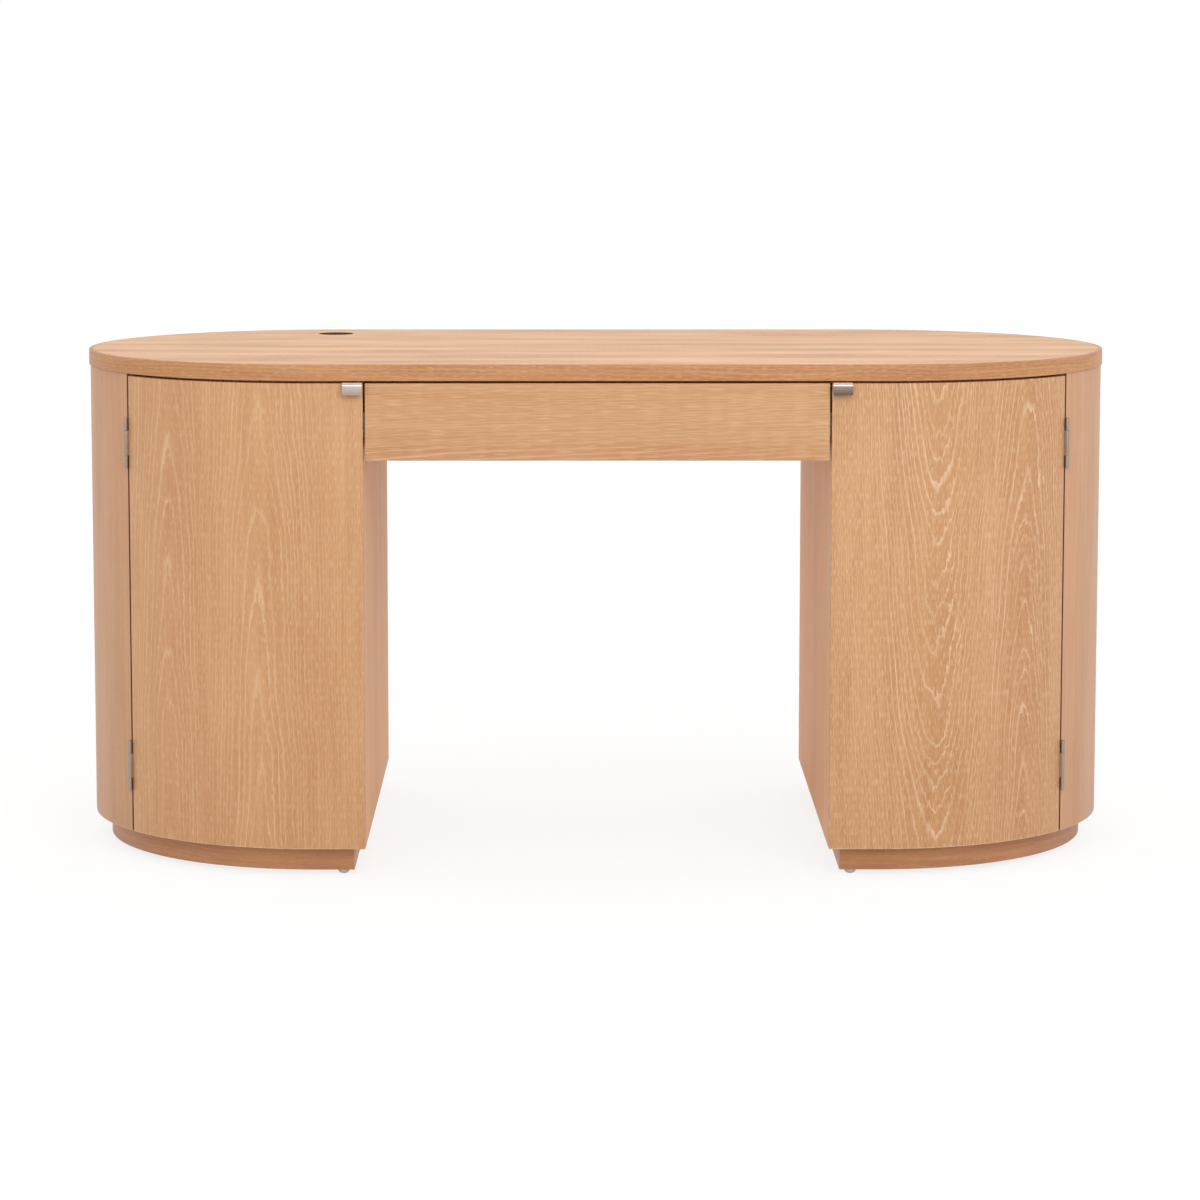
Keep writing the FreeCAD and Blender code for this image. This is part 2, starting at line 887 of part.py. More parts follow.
def main():
    os.makedirs("parts", exist_ok=True)
    save("desktop_core", desktop_core())
    save("desktop_edging", desktop_edging())
    save("desktop_screws", group(all_top_screws()))
    save("front_rail", front_rail())
    save("rear_apron", rear_apron())

    save_both("inner_panel", inner_panel())
    save_both("curved_shell", curved_shell())
    save_both("base_panel", base_panel())
    save("right_top_panel", top_panel())
    save("left_top_panel", mirrored(top_panel()).cut(cable_hole()))
    save_both("shelf", shelf())
    save_all_round("shelf_pins", shelf_pins())
    save_both("plinth", plinth())
    save_all_round("glides", [glide(at) for at in glide_places()])

    save_both("door", door())
    save_both("door_pull", door_pull())
    save_both("pull_screws", group([pull_screw(at) for at in pull_screw_places()]))
    save_both("hinge_frame_leaves", group(at_hinges(frame_leaf())))
    save_both("hinge_door_leaves", group(at_hinges(door_leaf())))
    save_all_round("hinge_pins", at_hinges(hinge_pin()))
    save_all_round("hinge_frame_screws", hinge_screws(-1))
    save_both("hinge_door_screws", group(hinge_screws(1)))
    save_both("strike_plate", strike_plate())
    save_all_round("magnetic_catches", catch())
    save_all_round("door_bumpers", bumpers())

    save("drawer_front", drawer_front())
    save("drawer_sub_front", drawer_sub_front())
    save("drawer_back", drawer_back())
    save("drawer_floor", drawer_floor_box(0))
    save_both("drawer_side", drawer_side())
    save("drawer_front_screws", group([front_screw(at) for at in front_screw_places()]))

    save_both("slide_outer", slide_outer())
    save_both("slide_middle", slide_middle())
    save_both("slide_inner", slide_inner())
    save_both("outer_ball_cage", group(ball_cage(0)))
    save_both("inner_ball_cage", group(ball_cage(1)))
    panel_places = slide_screw_places(kneehole_side - slide_metal)
    save_all_round("slide_panel_screws", [panel_slide_screw(at) for at in panel_places])
    drawer_places = slide_screw_places(drawer_side_out + slide_metal)
    save_all_round("slide_drawer_screws", [drawer_slide_screw(at) for at in drawer_places])

    save("grommet_liner", grommet_liner())
    save("grommet_cap", grommet_cap())


main()
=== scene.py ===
# %% [markdown]
# # An executive desk in cerused oak
#
# The desk is a racetrack: two half circles joined by straight sides. A desktop with a thin edge
# band lies on two pedestals whose doors and shells bend round the same half circles. The packed
# model gives every piece its true place. This notebook dresses it: it keeps the pieces whose
# shape is right and models again those that need softened edges, rolled metal or screw slots.

# %% Load the frame
import math

import bmesh
import bpy
from mathutils import Matrix, Vector


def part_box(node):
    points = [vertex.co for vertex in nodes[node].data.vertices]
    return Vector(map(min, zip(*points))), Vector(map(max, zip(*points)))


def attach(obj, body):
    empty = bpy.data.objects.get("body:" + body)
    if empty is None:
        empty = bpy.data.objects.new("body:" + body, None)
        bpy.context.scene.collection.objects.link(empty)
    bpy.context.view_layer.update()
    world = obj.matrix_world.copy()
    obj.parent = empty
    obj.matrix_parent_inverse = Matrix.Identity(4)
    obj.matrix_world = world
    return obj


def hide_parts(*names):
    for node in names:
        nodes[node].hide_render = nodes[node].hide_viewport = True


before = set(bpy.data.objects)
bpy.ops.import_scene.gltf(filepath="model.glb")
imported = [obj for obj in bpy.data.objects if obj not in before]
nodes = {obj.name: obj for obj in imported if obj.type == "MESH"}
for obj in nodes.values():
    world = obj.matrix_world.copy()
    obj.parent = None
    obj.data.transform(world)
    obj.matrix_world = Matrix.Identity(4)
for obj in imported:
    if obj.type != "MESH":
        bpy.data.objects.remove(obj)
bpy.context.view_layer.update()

# %% [markdown]
# ## Sizes read from the frame
#
# Nothing is measured twice. The edge band's box gives the length, depth and height of the top,
# and with them the radius and the centres of the half circles. The plan is centred a little
# behind the origin, because the door pulls stand out in front, so the plan has its own middle.

# %% Sizes of the plan
MM = 0.001
band_low, band_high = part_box("desktop_edging")
door_low, door_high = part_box("right_door")
END_RADIUS = (band_high.y - band_low.y) / 2
END_CENTRE = band_high.x - END_RADIUS
PLAN_Y = (band_high.y + band_low.y) / 2
BODY_RADIUS = PLAN_Y - door_low.y
print("end radius", round(END_RADIUS, 4), "end centre", round(END_CENTRE, 4))
print("body radius", round(BODY_RADIUS, 4))

# %% [markdown]
# ## The camera
#
# The desk is seen from the front and a little above, with a long lens, so its ends curve away
# gently. The camera is tilted down only slightly, and a small shift keeps the uprights upright.

# %% Camera
CAMERA_PLACE = Vector((-0.0441, PLAN_Y - 5.8175, 1.1975))
CAMERA_TILT = 6.33
CAMERA_TURN = 0.103
LENS = 112.42
SHIFT_X = 0.0217
SHIFT_Y = -0.1

camera_data = bpy.data.cameras.new("camera")
camera = bpy.data.objects.new("camera", camera_data)
bpy.context.scene.collection.objects.link(camera)
bpy.context.scene.camera = camera
camera.location = CAMERA_PLACE
camera.rotation_euler = (math.radians(90 - CAMERA_TILT), 0, math.radians(-CAMERA_TURN))
camera_data.lens = LENS
camera_data.shift_x = SHIFT_X
camera_data.shift_y = SHIFT_Y
print("camera at", [round(c, 3) for c in camera.location])

# %% [markdown]
# ## Small helpers for node trees
#
# A material is a tree of small sums. These helpers place a node, wire it and return its result,
# so that a formula reads almost as it would on paper.

# %% Colours, sums and noise
def linear(red, green, blue):
    # A colour as seen on screen, 0 to 255, in the linear values that a shader takes
    def one(value):
        share = value / 255
        return share / 12.92 if share <= 0.04045 else ((share + 0.055) / 1.055) ** 2.4

    return (one(red), one(green), one(blue), 1.0)


def put(tree, socket, value):
    # Wires a socket to an input, or sets the input to a plain number
    if isinstance(value, bpy.types.NodeSocket):
        tree.links.new(value, socket)
    else:
        socket.default_value = value


def placed(tree, kind, **inputs):
    # A new node, its inputs set or wired by name
    node = tree.nodes.new(kind)
    for name, value in inputs.items():
        put(tree, node.inputs[name], value)
    return node


def sum_of(tree, operation, first, second=0.0, third=0.0):
    node = tree.nodes.new("ShaderNodeMath")
    node.operation = operation
    for socket, value in zip(node.inputs, (first, second, third)):
        put(tree, socket, value)
    return node.outputs[0]


def times(tree, first, second):
    return sum_of(tree, "MULTIPLY", first, second)


def stretched(tree, across, along, seed, across_rate, along_rate):
    # A place on the veneer, drawn out along the grain: rates are features per metre
    x, y = times(tree, across, across_rate), times(tree, along, along_rate)
    return placed(tree, "ShaderNodeCombineXYZ", X=x, Y=y, Z=seed).outputs[0]


def noise_of(tree, vector, detail=2.0, roughness=0.5):
    settings = {"Scale": 1.0, "Detail": detail, "Roughness": roughness}
    return placed(tree, "ShaderNodeTexNoise", Vector=vector, **settings).outputs["Fac"]


def ranged(tree, value, low, high, out_low=0.0, out_high=1.0, smooth=True):
    # While the value goes from low to high, the result goes from out_low to out_high
    node = tree.nodes.new("ShaderNodeMapRange")
    node.interpolation_type = "SMOOTHSTEP" if smooth else "LINEAR"
    names = ("From Min", "From Max", "To Min", "To Max")
    for name, number in zip(names, (low, high, out_low, out_high)):
        node.inputs[name].default_value = number
    put(tree, node.inputs["Value"], value)
    return node.outputs["Result"]


def mixed(tree, factor, first, second, kind="RGBA"):
    node = tree.nodes.new("ShaderNodeMix")
    node.data_type = kind
    put(tree, node.inputs["Factor"], factor)
    put(tree, node.inputs["A"], first)
    put(tree, node.inputs["B"], second)
    return node.outputs["Result"]


print("mid grey on screen is", round(linear(128, 128, 128)[0], 3), "to a shader")


# %% Places, materials and groups
def place_of(tree):
    # The place on the object at rest, in metres
    return tree.nodes.new("ShaderNodeTexCoord").outputs["Object"]


def split_of(tree, vector):
    return list(placed(tree, "ShaderNodeSeparateXYZ", Vector=vector).outputs)


def bump_from(tree, height, strength, distance):
    bump = placed(tree, "ShaderNodeBump", Strength=strength, Distance=distance, Height=height)
    return bump.outputs["Normal"]


def new_material(name):
    material = bpy.data.materials.new(name)
    material.use_nodes = True
    return material, material.node_tree, material.node_tree.nodes["Principled BSDF"]


def floats(*names):
    return [(name, "NodeSocketFloat") for name in names]


def new_group(name, inputs, outputs):
    group = bpy.data.node_groups.new(name, "ShaderNodeTree")
    for label, kind in inputs:
        group.interface.new_socket(label, in_out="INPUT", socket_type=kind)
    for label, kind in outputs:
        group.interface.new_socket(label, in_out="OUTPUT", socket_type=kind)
    return group, group.nodes.new("NodeGroupInput").outputs, group.nodes.new("NodeGroupOutput").inputs


def placed_group(tree, group, **values):
    node = tree.nodes.new("ShaderNodeGroup")
    node.node_tree = group
    for name, value in values.items():
        put(tree, node.inputs[name.title()], value)
    return node


# %% [markdown]
# ## Light and floor
#
# The desk stands in a white room that lights it from all sides, so shadows are soft and even
# the kneehole is bright. Two broad lamps add a slight direction. The camera sees the floor and
# the room as plain white. The floor keeps a share of its real shading, so that the desk's faint
# shadow stays on it.

# %% World and floor
WORLD_AMBIENT = 0.85
FLOOR_WHITE = 0.82
FLOOR_SHADED = (0.22, 0.22, 0.22, 1)
FLOOR_BOUNCE = (0.76, 0.76, 0.76, 1)
FLOOR_REACH = 30.0
scene = bpy.context.scene
scene.view_settings.view_transform = "Standard"


def seen_directly(tree):
    # One where the camera, a mirror or a glass looks at a surface, nought where it only gives light
    rays = tree.nodes.new("ShaderNodeLightPath").outputs
    mirrored_too = sum_of(tree, "MAXIMUM", rays["Is Camera Ray"], rays["Is Glossy Ray"])
    return sum_of(tree, "MAXIMUM", mirrored_too, rays["Is Transmission Ray"])


def mixed_shaders(tree, *sockets):
    # The mask, then the shader that lights the desk, then the one that is seen
    node = tree.nodes.new("ShaderNodeMixShader")
    for socket, value in zip(node.inputs, sockets):
        put(tree, socket, value)
    return node.outputs[0]


world = bpy.data.worlds.new("white_room")
scene.world = world
world.use_nodes = True
tree = world.node_tree
tree.nodes.clear()
lighting, seen = (
    placed(tree, "ShaderNodeBackground", Color=(1, 1, 1, 1), Strength=strength).outputs[0]
    for strength in (WORLD_AMBIENT, 1.0)
)
room = mixed_shaders(tree, seen_directly(tree), lighting, seen)
placed(tree, "ShaderNodeOutputWorld", Surface=room)

bpy.ops.mesh.primitive_plane_add(size=2 * FLOOR_REACH, location=(0, 0, 0))
floor = bpy.context.object
floor.name = "floor"
floor_material = bpy.data.materials.new("white_floor")
floor_material.use_nodes = True
tree = floor_material.node_tree
tree.nodes.clear()
bounce, shaded = (
    placed(tree, "ShaderNodeBsdfDiffuse", Color=colour).outputs[0] for colour in (FLOOR_BOUNCE, FLOOR_SHADED)
)
both_shares = tree.nodes.new("ShaderNodeAddShader")
put(tree, both_shares.inputs[0], shaded)
put(tree, both_shares.inputs[1], placed(tree, "ShaderNodeEmission", Strength=FLOOR_WHITE).outputs[0])
floor_shader = mixed_shaders(tree, seen_directly(tree), bounce, both_shares.outputs[0])
placed(tree, "ShaderNodeOutputMaterial", Surface=floor_shader)
floor.data.materials.append(floor_material)
print("floor", 2 * FLOOR_REACH, "m wide")

# %% Lamps
DESK_MIDDLE = (0, 0, 0.45)


def area_lamp(name, place, size, power):
    data = bpy.data.lights.new(name, "AREA")
    data.shape = "DISK"
    data.size = size
    data.energy = power
    lamp = bpy.data.objects.new(name, data)
    scene.collection.objects.link(lamp)
    lamp.location = place
    lamp.rotation_euler = (Vector(DESK_MIDDLE) - Vector(place)).to_track_quat("-Z", "Y").to_euler()
    print("lamp", name, "of", power, "W")


area_lamp("key", (1.4, -4.5, 2.8), 2.4, 42)
area_lamp("fill", (-0.8, -4.8, 2.4), 3.0, 13)

# %% [markdown]
# ## Around the end: where a place lies on the bent veneer
#
# The doors, shells, plinths and the edge band are bent boards. A grain pattern laid over them
# from the front would stretch as the board turns away. This group measures the way along the
# outline instead, from the middle of the front: straight at first, then along the arc.

# %% Group: around the end
around_group, given, result = new_group(
    "around_the_end", [("Vector", "NodeSocketVector")], floats("Around", "Height", "Radius")
)
tree = around_group
x, y, z = split_of(tree, given["Vector"])
reach = sum_of(tree, "ABSOLUTE", x)
side = sum_of(tree, "SIGN", x)
depth = sum_of(tree, "SUBTRACT", y, PLAN_Y)
beyond = sum_of(tree, "MAXIMUM", sum_of(tree, "SUBTRACT", reach, END_CENTRE), 0.0)
turn = sum_of(tree, "ARCTAN2", beyond, times(tree, depth, -1.0))
to_the_bend = sum_of(tree, "SUBTRACT", END_CENTRE, sum_of(tree, "MINIMUM", reach, END_CENTRE))
straight = times(tree, sum_of(tree, "SIGN", depth), to_the_bend)
bent = sum_of(tree, "MULTIPLY_ADD", turn, BODY_RADIUS, sum_of(tree, "ADD", straight, END_CENTRE))
depth_squared = times(tree, depth, depth)
radius_squared = sum_of(tree, "MULTIPLY_ADD", beyond, beyond, depth_squared)
put(tree, result["Around"], times(tree, bent, side))
put(tree, result["Height"], z)
put(tree, result["Radius"], sum_of(tree, "SQRT", radius_squared))
print("node group", tree.name)

# %% [markdown]
# ## The figure of flat-cut oak
#
# A tree grows in rings, and a leaf of veneer is a thin slice beside its heart. Where the slice
# comes near the heart the rings show as nested arches, and farther out as straight lines. So
# the pattern is the distance to a leaning heart line, cut into rings. Each ring starts with a
# row of open pores, which are filled with white in a cerused finish: sharp on one side, fading
# on the other, and broken up into short strokes.

# %% Group: oak leaf, the rings
# Rates are features per metre, across the grain and along it
DRIFT_RATES = (6.0, 2.2)
DRIFT = 7 * MM
HEART_DRIFT_RATES = (1.0, 3.4)
HEART_DRIFT = 5 * MM
WANDER_RATES = (60.0, 14.0)
WANDER = 1.0 * MM
TEETH_RATES = (210.0, 60.0)
TEETH = 0.7 * MM
TOOTHED = (20 * MM, 70 * MM)
POINTED = 1.8
UNEVEN_RATES = (45.0, 1.0)
UNEVEN = 0.9
CROWDING = 400.0
OAK_INPUTS = ("Across", "Along", "Centre", "Depth", "Slope", "Spacing", "Seed")
oak_group, given, result = new_group("oak_leaf", floats(*OAK_INPUTS), floats("Cream", "Tone", "Height"))
tree = oak_group
across, along, centre, heart_depth, slope, spacing, seed = (given[name] for name in OAK_INPUTS)


def noise_at(rates, detail=2.0, roughness=0.5, where=(across, along)):
    return noise_of(tree, stretched(tree, *where, seed, *rates), detail, roughness)


def swing(noise, amount):
    # Noise that swings as far to one side as to the other
    return ranged(tree, noise, 0.25, 0.75, -amount, amount, smooth=False)


drift = swing(noise_at(DRIFT_RATES), DRIFT)
wander = swing(noise_at(WANDER_RATES), WANDER)
heart_drift = swing(noise_at(HEART_DRIFT_RATES, 1.0, where=(0.0, along)), HEART_DRIFT)
teeth = swing(noise_at(TEETH_RATES), TEETH)
from_heart = sum_of(tree, "SUBTRACT", across, centre)
beside_heart = sum_of(tree, "ABSOLUTE", from_heart)
nearness = ranged(tree, beside_heart, *TOOTHED, 1.0, 0.25)
jag = sum_of(tree, "MULTIPLY_ADD", teeth, nearness, wander)
aside = sum_of(tree, "ADD", from_heart, sum_of(tree, "ADD", drift, jag))
leaning = sum_of(tree, "MULTIPLY_ADD", slope, along, heart_depth)
deep = sum_of(tree, "ADD", leaning, sum_of(tree, "ADD", heart_drift, jag))
side_share = sum_of(tree, "POWER", sum_of(tree, "ABSOLUTE", aside), POINTED)
deep_share = sum_of(tree, "POWER", sum_of(tree, "ABSOLUTE", deep), POINTED)
ring_radius = sum_of(tree, "POWER", sum_of(tree, "ADD", side_share, deep_share), 1.0 / POINTED)
uneven = swing(noise_at(UNEVEN_RATES, where=(ring_radius, 0.0)), UNEVEN)
tighter = times(tree, times(tree, ring_radius, ring_radius), CROWDING)
ring_count = sum_of(tree, "ADD", sum_of(tree, "DIVIDE", ring_radius, spacing), tighter)
part = sum_of(tree, "FRACT", sum_of(tree, "ADD", ring_count, uneven))
print("rings in", oak_group.name, "nodes", len(oak_group.nodes))

# %% Group: oak leaf, the pores and the tone
PORE_ROW = (0.26, 0.36)
FAINTER = (50 * MM, 110 * MM)
STROKE_RATES = (600.0, 55.0)
STROKE_SHARE = 0.45
PATCH_RATES = (30.0, 4.0)
FLECK_RATES = (1100.0, 80.0)
FLECK_SHARE = 0.45
WIDE_TONE_RATES = (17.0, 1.3)
WIDE_SHARE = 0.52
FINE_TONE_RATES = (130.0, 5.0)
FINE_SHARE = 0.42
BLOTCH_RATES = (9.0, 5.0)
steepness = sum_of(tree, "DIVIDE", sum_of(tree, "ABSOLUTE", aside), ring_radius)
pore_row = ranged(tree, steepness, 0.0, 0.8, *PORE_ROW)
falling = ranged(tree, sum_of(tree, "DIVIDE", part, pore_row), 0.0, 1.0, 1.0, 0.0)
rising = ranged(tree, sum_of(tree, "SUBTRACT", 1.0, part), 0.0, 0.04, 1.0, 0.0)
early = sum_of(tree, "MAXIMUM", falling, rising)
stroke_mask = ranged(tree, noise_at(STROKE_RATES, 1.0), 0.38, 0.6)
strokes = sum_of(tree, "MULTIPLY_ADD", stroke_mask, STROKE_SHARE, 1.0 - STROKE_SHARE)
patchy = ranged(tree, noise_at(PATCH_RATES), 0.3, 0.65, 0.45, 1.0)
farther_fainter = ranged(tree, beside_heart, *FAINTER, 1.0, 0.6)
uneven_cream = times(tree, patchy, farther_fainter)
ring_cream = times(tree, times(tree, early, uneven_cream), strokes)
flecks = ranged(tree, noise_at(FLECK_RATES, 0.0), 0.53, 0.68)
cream = sum_of(tree, "MAXIMUM", ring_cream, times(tree, flecks, FLECK_SHARE))
wide_tone = ranged(tree, noise_at(WIDE_TONE_RATES, 3.0, 0.6), 0.36, 0.64)
fine_tone = ranged(tree, noise_at(FINE_TONE_RATES), 0.3, 0.7, 0.0, FINE_SHARE)
blotches = ranged(tree, noise_at(BLOTCH_RATES, 1.0), 0.3, 0.7, -0.08, 0.14)
streaks = sum_of(tree, "MULTIPLY_ADD", wide_tone, WIDE_SHARE, fine_tone)
put(tree, result["Cream"], cream)
put(tree, result["Tone"], sum_of(tree, "ADD", streaks, blotches))
put(tree, result["Height"], times(tree, cream, -1.0))
print("node groups:", [group.name for group in bpy.data.node_groups])

# %% [markdown]
# ## Veneer materials
#
# One function lays the leaves. It takes the way the grain runs, the heart lines of the leaves
# and where one leaf meets the next, and three colours: the darker and the lighter honey of the
# wood and the cream of the filled pores. The lacquer is satin, a touch rougher in the pores.

# %% Oak veneer
SEAM_AROUND = 0.7435
# The painted shade at the hinge seam: its half width, its depth and its colour
SEAM_SHADE_HALF = (1.6 * MM, 2.3 * MM)
SEAM_SHADE_DEEP = (6 * MM, 4 * MM)
SEAM_PAINTED_SHADE = (122, 82, 58)
LOW_EDGE = (door_low.z + 0.6 * MM, door_low.z + 1.9 * MM)
LOW_EDGE_RATES = (55.0, 90.0)
PORE_ROUGHER = 0.12
PORE_BUMP = (0.12, 0.2 * MM)


def grain_sockets(tree, run):
    # Where a place lies across and along the grain, for each way a veneer can be laid, and its
    # distance from the middle of the end
    place = place_of(tree)
    x, y, z = split_of(tree, place)
    around, height, radius = list(placed_group(tree, around_group, vector=place).outputs)
    ways = {
        "upright_bent": (around, height),
        "level_bent": (height, around),
        "upright_side": (y, z),
        "level_front": (z, x),
        "level_top": (y, x),
        "level_depth": (x, y),
    }
    return (*ways[run], radius)


def veneer(
    name, run, leaves, tones, cream_share, joint=None, spacing=5.4 * MM,
    rough=0.42, gloss=0.4, length=1.0, seam=False,
):
    # A leaf is the place of its heart line, its depth, its slope and a seed. The tones are the
    # darker honey, the lighter honey and the cream.
    material, tree, shader = new_material(name)
    dark, light, cream = (linear(*tone) for tone in tones)
    across, along, radius = grain_sockets(tree, run)
    drawn_out = times(tree, along, 1 / length)
    figures = []
    for centre, depth, slope, seed in leaves:
        leaf = {"centre": centre, "depth": depth, "slope": slope, "spacing": spacing, "seed": seed}
        figures.append(placed_group(tree, oak_group, across=across, along=drawn_out, **leaf).outputs)
    values = dict(figures[0].items())
    if joint is not None:
        second_leaf = sum_of(tree, "GREATER_THAN", across, joint)
        for key in values:
            values[key] = mixed(tree, second_leaf, values[key], figures[1][key], "FLOAT")
    ground = mixed(tree, values["Tone"], dark, light)
    colour = mixed(tree, times(tree, values["Cream"], cream_share), ground, cream)
    if seam:
        # Painted shade: the arrises at the hinge line are darkened a few millimetres deep, so the gap reads
        # darker
        arris = ranged(tree, radius, *(BODY_RADIUS - deep for deep in SEAM_SHADE_DEEP))
        off_seam = sum_of(tree, "SUBTRACT", sum_of(tree, "ABSOLUTE", across), SEAM_AROUND)
        painted_seam_shade = ranged(tree, sum_of(tree, "ABSOLUTE", off_seam), *SEAM_SHADE_HALF, 1.0, 0.0)
        colour = mixed(tree, times(tree, painted_seam_shade, arris), colour, linear(*SEAM_PAINTED_SHADE))
        # A broken cream line runs along the lowest edge
        low_edge = ranged(tree, along, *LOW_EDGE, 1.0, 0.0)
        patches = noise_of(tree, stretched(tree, across, along, 2.0, *LOW_EDGE_RATES))
        broken = ranged(tree, patches, 0.35, 0.6, 0.15, 0.85)
        colour = mixed(tree, times(tree, low_edge, broken), colour, cream)
    shader.inputs["Specular IOR Level"].default_value = gloss
    put(tree, shader.inputs["Base Color"], colour)
    satin = ranged(tree, values["Cream"], 0.0, 1.0, rough, rough + PORE_ROUGHER)
    put(tree, shader.inputs["Roughness"], satin)
    put(tree, shader.inputs["Normal"], bump_from(tree, values["Height"], *PORE_BUMP))
    return material


print("the seam is", SEAM_AROUND, "m round from the middle of the front")

# %% Veneers of the outside
SHELL_CREAM = (228, 190, 154)
door_right = veneer(
    "oak_door_right", "upright_bent",
    [(0.500, 0.112, -0.085, 3.0), (0.653, 0.012, 0.085, 11.0)],
    ((198, 140, 92), (214, 160, 111), (244, 210, 172)),
    0.92, joint=0.592, spacing=5.6 * MM, seam=True,
)
door_left = veneer(
    "oak_door_left", "upright_bent",
    [(-0.655, 0.02, 0.05, 23.0), (-0.500, 0.012, 0.055, 31.0)],
    ((202, 144, 97), (217, 163, 115), (238, 202, 160)),
    0.75, joint=-0.60, spacing=8 * MM, seam=True,
)
shell_left = veneer(
    "oak_shell_left", "upright_bent",
    [(-1.05, 0.09, 0.04, 5.0)],
    ((201, 146, 106), (214, 162, 122), SHELL_CREAM),
    0.5, gloss=0.25, seam=True,
)
shell_right = veneer(
    "oak_shell_right", "upright_bent",
    [(1.0, 0.09, 0.04, 8.0)],
    ((206, 152, 112), (219, 168, 129), SHELL_CREAM),
    0.5, gloss=0.25, seam=True,
)
drawer_veneer = veneer(
    "oak_drawer_front", "level_front",
    [(0.56, 0.07, -0.12, 14.0)],
    ((201, 143, 97), (216, 163, 116), (238, 203, 162)),
    0.85, spacing=9 * MM, length=2.5,
)
top_veneer = veneer(
    "oak_desktop", "level_top",
    [(-0.19, 0.08, 0.05, 41.0), (0.2, 0.07, 0.05, 47.0)],
    ((204, 147, 101), (250, 198, 150), (250, 220, 188)),
    0.7, joint=0.02, gloss=0.1,
)
band_veneer = veneer(
    "oak_edge_band", "level_bent",
    [(0.66, 0.03, 0.012, 52.0)],
    ((188, 128, 84), (211, 153, 104), (234, 194, 152)),
    0.7, spacing=8 * MM, gloss=0.15,
)
plinth_veneer = veneer(
    "oak_plinth", "level_bent",
    [(0.0, 0.03, 0.012, 58.0)],
    ((174, 116, 78), (199, 141, 99), (214, 166, 126)),
    0.5,
)
print("veneers:", len(bpy.data.materials))

# %% Veneers of the kneehole and the inside
# Painted light: the kneehole veneer is paler than the shells to make up for the kneehole's shade
kneehole_veneer_painted_light = veneer(
    "oak_kneehole_painted_light", "upright_side",
    [(0.02, 0.07, 0.05, 61.0)],
    ((236, 174, 117), (247, 189, 134), (246, 208, 166)),
    0.35, rough=0.5, gloss=0.3,
)
inside_veneer = veneer(
    "oak_inside", "level_depth",
    [(0.5, 0.07, 0.05, 67.0)],
    ((202, 148, 105), (216, 168, 126), SHELL_CREAM),
    0.35,
)
birch = veneer(
    "birch_drawer_box", "level_depth",
    [(0.1, 0.2, 0.02, 71.0)],
    ((220, 186, 144), (232, 203, 166), (240, 220, 188)),
    0.25,
)
print("veneers:", len(bpy.data.materials))

# %% [markdown]
# ## The rear edges of the kneehole panels
#
# The panels beside the kneehole are coloured paler than the shells: painted light that makes up for
# the kneehole's own shade. Their rear edges are seen from behind between two shells, and carry a thin
# strip of the shells' darker veneer. It is a darker share of the same grain, laid where the panel ends.

# %% Rear edge strips
STRIP_THICK = 0.6 * MM
STRIP_SHADE = (0.74, 0.72, 0.78, 1.0)
panel_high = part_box("right_inner_panel")[1]
tree = kneehole_veneer_painted_light.node_tree
shader = tree.nodes["Principled BSDF"]
front_to_back = split_of(tree, place_of(tree))[1]
on_strip = sum_of(tree, "GREATER_THAN", front_to_back, panel_high.y - STRIP_THICK)
shaded_strip = mixed(tree, on_strip, shader.inputs["Base Color"].links[0].from_socket, STRIP_SHADE)
shaded_strip.node.blend_type = "MULTIPLY"
put(tree, shader.inputs["Base Color"], shaded_strip)
print("rear edge at", round(panel_high.y, 4))

# %% [markdown]
# ## Metal and moulded materials
#
# The pulls and hinges are brushed nickel, warmer than steel. The brushing is a fine noise drawn
# out along one way, in the roughness and in a very shallow bump.

# %% Group: brushed surface
brushed_group, given, result = new_group(
    "brushed_surface",
    [("Vector", "NodeSocketVector"), ("Tint", "NodeSocketColor"), *floats("Rough")],
    [("Colour", "NodeSocketColor"), *floats("Roughness", "Height")],
)
tree = brushed_group
lines = noise_of(tree, given["Vector"], 3.0)
shine = ranged(tree, lines, 0.25, 0.75, 0.88, 1.04)
tinted = mixed(tree, 1.0, given["Tint"], shine)
tinted.node.blend_type = "MULTIPLY"
unevenness = ranged(tree, lines, 0.3, 0.7, -0.06, 0.08)
varied = sum_of(tree, "ADD", given["Rough"], unevenness)
put(tree, result["Colour"], tinted)
put(tree, result["Roughness"], varied)
put(tree, result["Height"], lines)
print("node group", tree.name)


# %% Metals and plastics
BRUSH_BUMP = (0.05, 0.05 * MM)


def brushed(name, colour, rough, rates, metallic=1.0):
    material, tree, shader = new_material(name)
    mapping = placed(tree, "ShaderNodeMapping", Scale=rates, Vector=place_of(tree))
    values = {"vector": mapping.outputs["Vector"], "tint": linear(*colour), "rough": rough}
    surface = placed_group(tree, brushed_group, **values)
    surface.name = "surface"
    put(tree, shader.inputs["Base Color"], surface.outputs["Colour"])
    put(tree, shader.inputs["Roughness"], surface.outputs["Roughness"])
    shader.inputs["Metallic"].default_value = metallic
    put(tree, shader.inputs["Normal"], bump_from(tree, surface.outputs["Height"], *BRUSH_BUMP))
    return material


